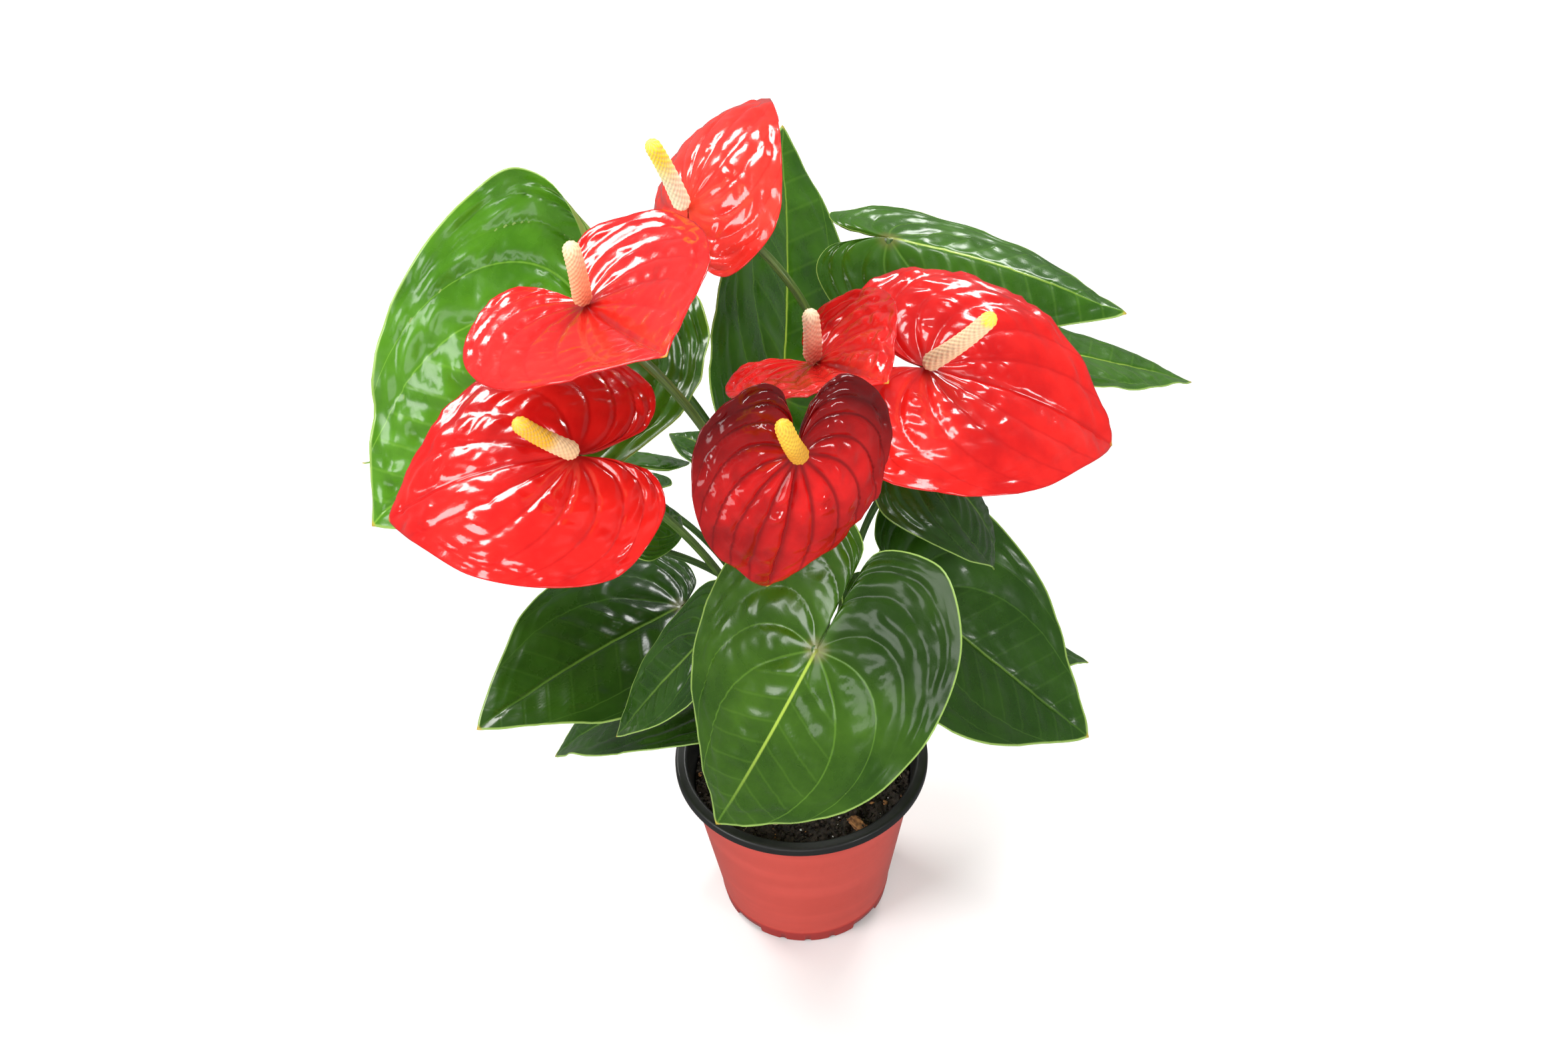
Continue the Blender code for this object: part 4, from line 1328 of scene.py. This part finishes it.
@dataclass(frozen=True)
class Litter:
    """Small lumps strewn over the mix: how many, how big in millimetres, and how flat."""

    name: str
    finish: str
    slot: str
    count: int
    small: float
    large: float
    seed: int
    flatness: float = 0.7
    inner: float = 3.0
    outer: float = 51.0
    lift: float = 0.3

    def lump(self) -> tuple[np.ndarray, np.ndarray]:
        """A ball of 32 faces: an octahedron whose sides are halved and pushed out to radius one.

        Returns:
            The points, and the corner numbers of each face.
        """
        corner = np.array(((1, 0, 0), (0, 1, 0), (-1, 0, 0), (0, -1, 0), (0, 0, 1), (0, 0, -1)), float)
        sides = np.array([(a, (a + 1) % 4, 4) for a in range(4)] + [((a + 1) % 4, a, 5) for a in range(4)])
        thirds = corner[sides]
        halves = unit(thirds + np.roll(thirds, -1, 1))
        soup = np.stack(
            (
                np.stack((thirds[:, 0], halves[:, 0], halves[:, 2]), 1),
                np.stack((thirds[:, 1], halves[:, 1], halves[:, 0]), 1),
                np.stack((thirds[:, 2], halves[:, 2], halves[:, 1]), 1),
                halves,
            )
        ).reshape(-1, 3)
        points, index = np.unique(np.round(soup, 6), axis=0, return_inverse=True)
        return points, index.reshape(-1, 3)

    def build(self, mix: Mix) -> bpy.types.Object:
        """Strew the lumps.

        Formula: places even over the disc, each with its own size, stretch, turn and knobbly
        factor by corner, and the lump's middle a little over the mix's rough surface.

        Args:
            mix: the mix that they lie on.

        Returns:
            One object with every lump.
        """
        random = np.random.default_rng(self.seed)
        ball, faces = self.lump()
        distance = np.sqrt(random.uniform(self.inner ** 2, self.outer ** 2, self.count))
        angle = random.uniform(0.0, math.tau, self.count)
        size = self.small + (self.large - self.small) * random.uniform(0.0, 1.0, self.count) ** 2.2
        stretch = random.uniform(0.55, 1.0, (self.count, 3)) * (1.0, 1.0, self.flatness)
        knobs = random.uniform(0.72, 1.12, (self.count, len(ball), 1))
        shapes = ball[None] * knobs * stretch[:, None] * size[:, None, None] * 0.5
        turn, tilt = random.uniform(0.0, math.tau, self.count), random.normal(0.0, 0.35, self.count)
        level = np.stack((np.cos(turn), -np.sin(turn), np.sin(turn), np.cos(turn)), -1).reshape(-1, 2, 2)
        shapes[..., 2] += shapes[..., 0] * np.tan(tilt)[:, None]
        shapes[..., :2] = np.einsum("nij,nkj->nki", level, shapes[..., :2])
        middle = np.stack((distance * np.cos(angle), distance * np.sin(angle), mix.top(distance, angle)), -1)
        middle[:, 2] += self.lift * size
        points = (shapes + middle[:, None]).reshape(-1, 3) * MM
        index = (faces[None] + np.arange(self.count)[:, None, None] * len(ball)).reshape(-1, 3)
        skin = Skin(self.name)
        shade = np.repeat(random.uniform(0.0, 1.0, self.count), len(ball))
        skin.patch(points, [(index, 0)], {"shade": shade})
        return skin.write(LITTER_MATERIALS[self.finish])

    def dress(self, mix: Mix) -> None:
        """Build the piece and put it on the mix."""
        settle(self.build(mix), self.slot)


@dataclass(frozen=True)
class Fibres:
    """Pale root strands that lie over the mix, in millimetres."""

    count: int = 16
    radius: float = 0.24
    length: float = 15.0
    seed: int = 23

    def build(self, mix: Mix) -> bpy.types.Object:
        """Lay the strands.

        Formula: a strand runs at a steady turn from its own place and way, at the height of the
        mix's surface plus a small arch; its radius thins to both ends as a sine.

        Args:
            mix: the mix that they lie on.

        Returns:
            One object with every strand.
        """
        random = np.random.default_rng(self.seed)
        skin = Skin("root_strands")
        t = np.linspace(0.0, 1.0, 22)
        for _ in range(self.count):
            distance, angle = 47.0 * math.sqrt(random.uniform(0.1, 1.0)), random.uniform(0.0, math.tau)
            way = angle + random.uniform(0.9, 2.2)
            curl = random.uniform(-1.6, 1.6)
            length = self.length * random.uniform(0.5, 1.4)
            flat = np.stack((np.cos(way + curl * t), np.sin(way + curl * t)), -1).cumsum(0) * length / len(t)
            flat += np.array((math.cos(angle), math.sin(angle))) * distance - flat[11]
            away = np.hypot(flat[:, 0], flat[:, 1])
            flat *= np.minimum(1.0, 50.0 / away)[:, None]
            height = mix.top(np.minimum(away, 50.0), np.arctan2(flat[:, 1], flat[:, 0]))
            line = np.column_stack((flat, height + 0.6 + np.sin(math.pi * t) * random.uniform(0.2, 1.6)))
            radii = self.radius * (0.4 + 0.6 * np.sin(math.pi * t)) * random.uniform(0.7, 1.4)
            line = even(line, 22, 3)
            rings, _ = tube(line * MM, radii * MM, 6, np.array((0.0, 0.0, 1.0)))
            shade = np.full(rings.shape[:2], random.uniform(0.0, 1.0))
            skin.column(rings, line[0] * MM, line[-1] * MM, shade=shade)
        return skin.write(LITTER_MATERIALS["fibre"])

    def dress(self, mix: Mix) -> None:
        """Build the piece and put it on the mix."""
        settle(self.build(mix), "bark")


@dataclass(frozen=True)
class Chip:
    """A splintered chip of bark: its node, its size in millimetres, and how it is turned."""

    node: str
    size: tuple[float, float, float]
    turn: float
    tilt: float
    seed: int

    def build(self) -> bpy.types.Object:
        """Make the chip in the middle of its node's box.

        Formula: a rounded box, each coordinate the square root of a ball's with its sign, pushed
        in by ridges along its length and by a random field, then turned and tilted.

        Returns:
            The chip's object.
        """
        low, high = (np.array(corner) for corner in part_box(self.node))
        upright = np.linspace(-math.pi / 2.0, math.pi / 2.0, 34)[1:-1, None]
        angle = np.linspace(0.0, math.tau, 64, endpoint=False)[None]
        ball = (np.cos(upright) * np.cos(angle), np.cos(upright) * np.sin(angle), np.sin(upright))
        ball = np.stack(np.broadcast_arrays(*ball), -1)
        block = np.sign(ball) * np.sqrt(np.abs(ball))
        ridges = np.abs(np.sin(block[..., 1] * 9.0 + ripples(block, 1.2, self.seed))) * 0.07
        worn = 0.06 * ripples(block, 0.8, self.seed + 1)
        block = block * (0.93 - ridges - worn)[..., None]
        place = Matrix.Rotation(self.turn, 3, "Z") @ Matrix.Rotation(self.tilt, 3, "Y")
        points = block * np.array(self.size) * 0.5 * MM @ np.array(place).T + (low + high) / 2.0
        skin = Skin(self.node.replace("chip", "splinter"))
        shade = np.clip(0.5 + 0.3 * ripples(block, 0.7, self.seed + 2), 0.0, 1.0)
        skin.column(points, points[0].mean(0), points[-1].mean(0), shade=shade)
        return skin.write(LITTER_MATERIALS["bark"])

    def dress(self) -> None:
        """Build the piece and put it in its node's place."""
        settle(self.build(), "bark", self.node)


# ---------------------------------------------------------------------------------------------
# Studio
# ---------------------------------------------------------------------------------------------


@dataclass(frozen=True)
class Softbox:
    """An area light: its place and aim in metres, its sides, its power and its colour."""

    name: str
    place: tuple[float, float, float]
    aim: tuple[float, float, float]
    size: tuple[float, float]
    power: float
    colour: Colour = (1.0, 1.0, 1.0)
    mirrored: bool = True

    def hang(self) -> None:
        """Add the light, turned towards its aim."""
        light = bpy.data.lights.new(self.name, "AREA")
        light.shape = "RECTANGLE"
        light.size, light.size_y = self.size
        light.energy = self.power
        light.color = self.colour
        obj = bpy.data.objects.new(self.name, light)
        obj.location = self.place
        way = Vector(self.aim) - Vector(self.place)
        obj.rotation_euler = way.to_track_quat("-Z", "Y").to_euler()
        obj.visible_glossy = self.mirrored
        bpy.context.scene.collection.objects.link(obj)


@dataclass(frozen=True)
class Studio:
    """A pale floor under soft lights, seen from in front and well above.

    The eye, yaw, dip and roll were found by a separate fitting program.  Angles are degrees, places
    are metres, and the glow is the floor's own light between two distances from the pot.
    """

    floor_side: float = 40.0
    floor_grey: float = 0.92
    glow_from: float = 0.7
    glow_to: float = 2.6
    far_glow: float = 0.85
    sky: float = 0.22
    backdrop: float = 0.95
    lens: float = 45.9
    eye: tuple[float, float, float] = (0.0, -0.646, 0.796)
    yaw: float = -0.35
    dip: float = 40.90
    roll: float = -2.23
    lights: tuple[Softbox, ...] = (
        Softbox("window", (-1.1, 0.9, 1.5), (0.0, 0.0, 0.3), (0.75, 0.6), 24.0, (1.0, 0.985, 0.96)),
        Softbox("back_panel", (0.7, 1.3, 1.25), (0.0, 0.0, 0.25), (0.5, 0.35), 10.0),
        Softbox("overhead", (0.2, 0.25, 2.0), (0.0, 0.0, 0.3), (0.55, 0.4), 9.0),
        Softbox("side_panel", (-1.5, -0.8, 1.15), (-0.1, 0.0, 0.3), (0.9, 0.8), 22.0),
        Softbox("low_spark", (1.0, -1.0, 0.85), (0.0, -0.1, 0.34), (0.34, 0.28), 5.0),
        Softbox("low_sheen", (-0.3, -2.0, 0.5), (0.0, -0.1, 0.25), (1.1, 0.6), 8.0),
        Softbox("ceiling", (0.3, -0.3, 2.0), (0.0, 0.0, 0.2), (1.1, 0.9), 20.0, mirrored=False),
        Softbox("front_fill", (0.5, -1.7, 0.9), (0.0, 0.0, 0.2), (1.0, 0.8), 9.0, mirrored=False),
    )

    def lay_floor(self) -> None:
        """Add the floor: a wide plane with a very faint mottle, kept pale where the lights fade."""
        side = self.floor_side / 2.0
        mesh = bpy.data.meshes.new("floor")
        corners = [(-side, -side, 0), (side, -side, 0), (side, side, 0), (-side, side, 0)]
        mesh.from_pydata(corners, [], [(0, 1, 2, 3)])
        bench = Bench("floor_paper")
        tone = bench.noise(4.0, 3.0)
        low, high = (tuple([self.floor_grey + shift] * 3) for shift in (-0.01, 0.01))
        away = bench.node("ShaderNodeVectorMath", {"operation": "LENGTH"}, {0: bench.place()}, "Value")
        glow = bench.mix(away.step(self.glow_from, self.glow_to), (0.0, 0.0, 0.0), (self.far_glow,) * 3)
        bench.set(
            Base_Color=bench.mix(tone, low, high), Roughness=0.9, Emission_Color=glow, Emission_Strength=1.0
        )
        mesh.materials.append(bench.material)
        floor = bpy.data.objects.new("floor", mesh)
        bpy.context.scene.collection.objects.link(floor)
        floor.visible_glossy = False

    def light(self) -> None:
        """Set the world's even light, with a pale backdrop, and hang the softboxes."""
        world = bpy.data.worlds.new("studio_air")
        world.use_nodes = True
        tree = world.node_tree
        shades = tree.nodes.new("ShaderNodeMix")
        shades.inputs["A"].default_value = self.sky
        shades.inputs["B"].default_value = self.backdrop
        path = tree.nodes.new("ShaderNodeLightPath")
        tree.links.new(path.outputs["Is Camera Ray"], shades.inputs["Factor"])
        tree.links.new(shades.outputs["Result"], tree.nodes["Background"].inputs["Color"])
        bpy.context.scene.world = world
        bpy.context.scene.view_settings.view_transform = "Standard"
        for softbox in self.lights:
            softbox.hang()

    def stand_camera(self) -> None:
        """Add the camera, looking down by its dip and turned by its roll."""
        camera = bpy.data.cameras.new("camera")
        camera.lens = self.lens
        obj = bpy.data.objects.new("camera", camera)
        turn = Matrix.Rotation(math.radians(-self.yaw), 4, "Z")
        turn = turn @ Matrix.Rotation(math.radians(90.0 - self.dip), 4, "X")
        turn = turn @ Matrix.Rotation(math.radians(self.roll), 4, "Z")
        obj.matrix_world = Matrix.Translation(self.eye) @ turn
        bpy.context.scene.collection.objects.link(obj)
        bpy.context.scene.camera = obj

    def build(self) -> None:
        """Set up the whole studio."""
        self.lay_floor()
        self.light()
        self.stand_camera()


# ---------------------------------------------------------------------------------------------
# The plant
# ---------------------------------------------------------------------------------------------

# The blades' places, angles, sizes, folds, cups, droops and lifts, the stems' bows and the columns'
# angles below were for the most part found by separate fitting programs and then rounded.  They
# were not worked out from driving dimensions.  Notch, quilt and curl were chosen one by one.
T = Tone
FLOWERS = (
    (Blade("top", T.CORAL, (-37, 36, 372), 90, 46, -46, 74, 0.59, 0.41, (-3, 0), (-30, -24), 85,
           3, (24, -12), 1.0, 0.6), (46, 24, -33)),
    (Blade("left_upper", T.SCARLET, (-73, -40, 379), -62, 12, 18, 81, 0.61, 0.43, (15, 16), (-12, -18), -15,
           24, (18, -24), 1.0, 0.55), (46, 39, 1)),
    (Blade("left_lower", T.SCARLET, (-79, -75, 337), -174, 3, -18, 83, 0.61, 0.38, (3, 8), (-22, -22), 54, 16,
           (6, 6), 1.0, 0.85), (45, 27, 17)),
    (Blade("front", T.CRIMSON, (2, -99, 354), -106, -71, -40, 62, 0.63, 0.46, (6, 6), (-17, -14), 33, 19,
           (6, 0), 1.0, 1.25), (38, -44, -40)),
    (Blade("middle", T.SCARLET, (11, -25, 338), -64, 27, 18, 62, 0.60, 0.42, (23, 21), (-9, -9), 2,
           36, (0, 0), 1.0, 0.7), (38, 50, -2)),
    (Blade("right", T.SCARLET, (53, -26, 335), -10, -7, 20, 87, 0.64, 0.36, (15, 14), (-38, -16), 46, 17,
           (-12, 0), 1.0, 0.8), (48, 26, -3)),
)
LEAVES = (
    Blade("left_tall", T.BRIGHT, (-78, 11, 341), -155, -31, -32, 129, 0.51, 0.29, (10, 8), (18, 11), 19, 5,
          (18, -12), 1.0, 2.6, (-150.0, 30.0, 0.55, 225.0)),
    Blade("back_tall", T.FRESH, (-3, 34, 277), 82, 37, 58, 128, 0.43, 0.31, (7, 7), (-2, 2), 12, 17, (12, 0)),
    Blade("right_tall", T.FRESH, (44, 60, 339), -12, -6, -12, 104, 0.37, 0.27, (0, -48), (-6, -26), 18, -6,
          (6, -12)),
    Blade("right_back", T.FRESH, (92, 59, 287), 16, -26, -6, 108, 0.31, 0.25, (3, 3),
          (-12, -12), 0, 17, (0, 0)),
    Blade("right_middle", T.DARK, (52, -4, 272), -4, -33, 3, 75, 0.46, 0.30, (0, 0),
          (-31, -35), 56, 20, (0, 0)),
    Blade("right_low", T.DARK, (50, -4, 196), -12, -43, 19, 114, 0.47, 0.30, (10, 11), (6, 2), 0, 17, (0, 0)),
    Blade("right_under", T.DARK, (75, 20, 143), 10, -16, -14, 70, 0.42, 0.30, (4, 5),
          (-10, -10), 13, 17, (0, 0)),
    Blade("front_low", T.MOSS, (7, -102, 260), -144, -55, -43, 105, 0.51, 0.51, (5, -32),
          (1, -4), 36, 5, (0, 0), 0.35, 1.3),
    Blade("left_low", T.DARK, (-53, 19, 171), -139, 9, -10, 112, 0.43, 0.18, (5, 4),
          (-11, -11), 20, 17, (0, 18)),
    Blade("left_folded", T.DARK, (-37, -55, 224), -178, -50, -12, 72, 0.32, 0.30, (6, 5),
          (-10, -9), 8, 17, (0, 0)),
    Blade("left_under", T.DARK, (-37, -14, 152), 173, -13, 5, 95, 0.42, 0.25, (9, 9),
          (-13, -11), 39, 17, (0, 0)),
    Blade("left_back", T.FRESH, (-81, 26, 250), 168, 4, 26, 110, 0.40, 0.31, (3, 2),
          (-14, -15), 16, 19, (18, 24)),
    Blade("young_back", T.FRESH, (-25, 20, 250), 125, 6, 12, 48, 0.35, 0.25, (10, 9),
          (-5, -6), 33, 17, (0, 6)),
    Blade("young_left", T.FRESH, (-67, -19, 250), 51, -14, 30, 39, 0.39, 0.30, (11, 9), (-11, -11), 23, 17,
          (24, 12)),
)
# The stems' places in the spiral, from the middle outwards, as a separate program assigned them.
ROOT_ORDER = (
    "leaf left_under", "leaf young_back", "leaf left_folded", "leaf right_low", "leaf young_left",
    "flower middle", "leaf back_tall", "flower left_lower", "leaf right_under", "leaf left_tall",
    "leaf front_low", "leaf right_tall", "flower left_upper", "leaf right_middle", "leaf left_low",
    "flower front", "leaf right_back", "leaf left_back", "flower right", "flower top",
)
LEAF_STEM_RADIUS = 1.5
FLOWER_STEM_RADIUS = 1.7

LEAF_MATERIALS = {tone: finish.make() for tone, finish in LEAF_FINISHES.items()}
SPATHE_MATERIALS = {tone: finish.make() for tone, finish in SPATHE_FINISHES.items()}
UNDERSIDES = {
    "leaf": UndersideFinish("leaf_underside", (0.20, 0.34, 0.06), (0.30, 0.42, 0.12)).make(),
    "spathe": UndersideFinish("spathe_underside", (0.50, 0.035, 0.03), (0.42, 0.06, 0.03), 0.35).make(),
}
STEM_MATERIALS = {
    "leaf": StemFinish("leaf_stem_skin").make(),
    "flower": StemFinish("flower_stem_skin", (0.035, 0.075, 0.012), (0.12, 0.20, 0.035)).make(),
}
POT_MATERIALS = {
    "inside": PotFinish("pot_black", (0.006, 0.006, 0.006), (0.006, 0.006, 0.006), 0.40, 0.04).make(),
    "outside": PotFinish("pot_coral", (0.47, 0.050, 0.034), (0.32, 0.018, 0.015), 0.33).make(),
}
LITTER_MATERIALS = {
    "peat": CrumbFinish("peat_crumb", (0.006, 0.004, 0.003), (0.045, 0.028, 0.018)).make(),
    "bark": CrumbFinish("bark_splinter", (0.10, 0.035, 0.012), (0.46, 0.20, 0.07), 0.8, 300.0).make(),
    "perlite": CrumbFinish("perlite_grain", (0.55, 0.54, 0.50), (0.85, 0.84, 0.82), 0.85, 1200.0).make(),
    "fibre": CrumbFinish("root_fibre", (0.16, 0.10, 0.05), (0.55, 0.42, 0.26), 0.8, 500.0).make(),
}


def report_size() -> None:
    """Update the view layer.
    """
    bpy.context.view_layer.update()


def main() -> None:
    """Build and dress every piece in order, then the studio."""
    logging.basicConfig(level=logging.INFO, format="%(name)s: %(message)s")
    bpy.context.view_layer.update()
    Pot().dress()
    mix = Mix()
    mix.dress()
    for litter in (
        Litter("peat_crumbs", "peat", "peat", 2600, 0.8, 3.4, 11),
        Litter("bark_bits", "bark", "bark", 70, 1.0, 3.6, 12, 0.4),
        Litter("perlite_grains", "perlite", "peat", 110, 0.6, 2.3, 13),
    ):
        litter.dress(mix)
    Fibres().dress(mix)
    Chip("bark_chip_left", (9.0, 6.0, 2.4), 0.6, 0.12, 31).dress()
    Chip("bark_chip_right", (11.0, 6.0, 2.6), 2.1, 0.1, 32).dress()
    for blade, column in FLOWERS:
        Spathe(blade).dress()
        Spadix(blade, *column).dress()
        Stem(blade, ROOT_ORDER.index("flower " + blade.name), FLOWER_STEM_RADIUS, "flower").dress()
    for blade in LEAVES:
        Leaf(blade).dress()
        Stem(blade, ROOT_ORDER.index("leaf " + blade.name), LEAF_STEM_RADIUS, "leaf").dress()
    Studio().build()
    report_size()


if __name__ == "__main__":
    main()
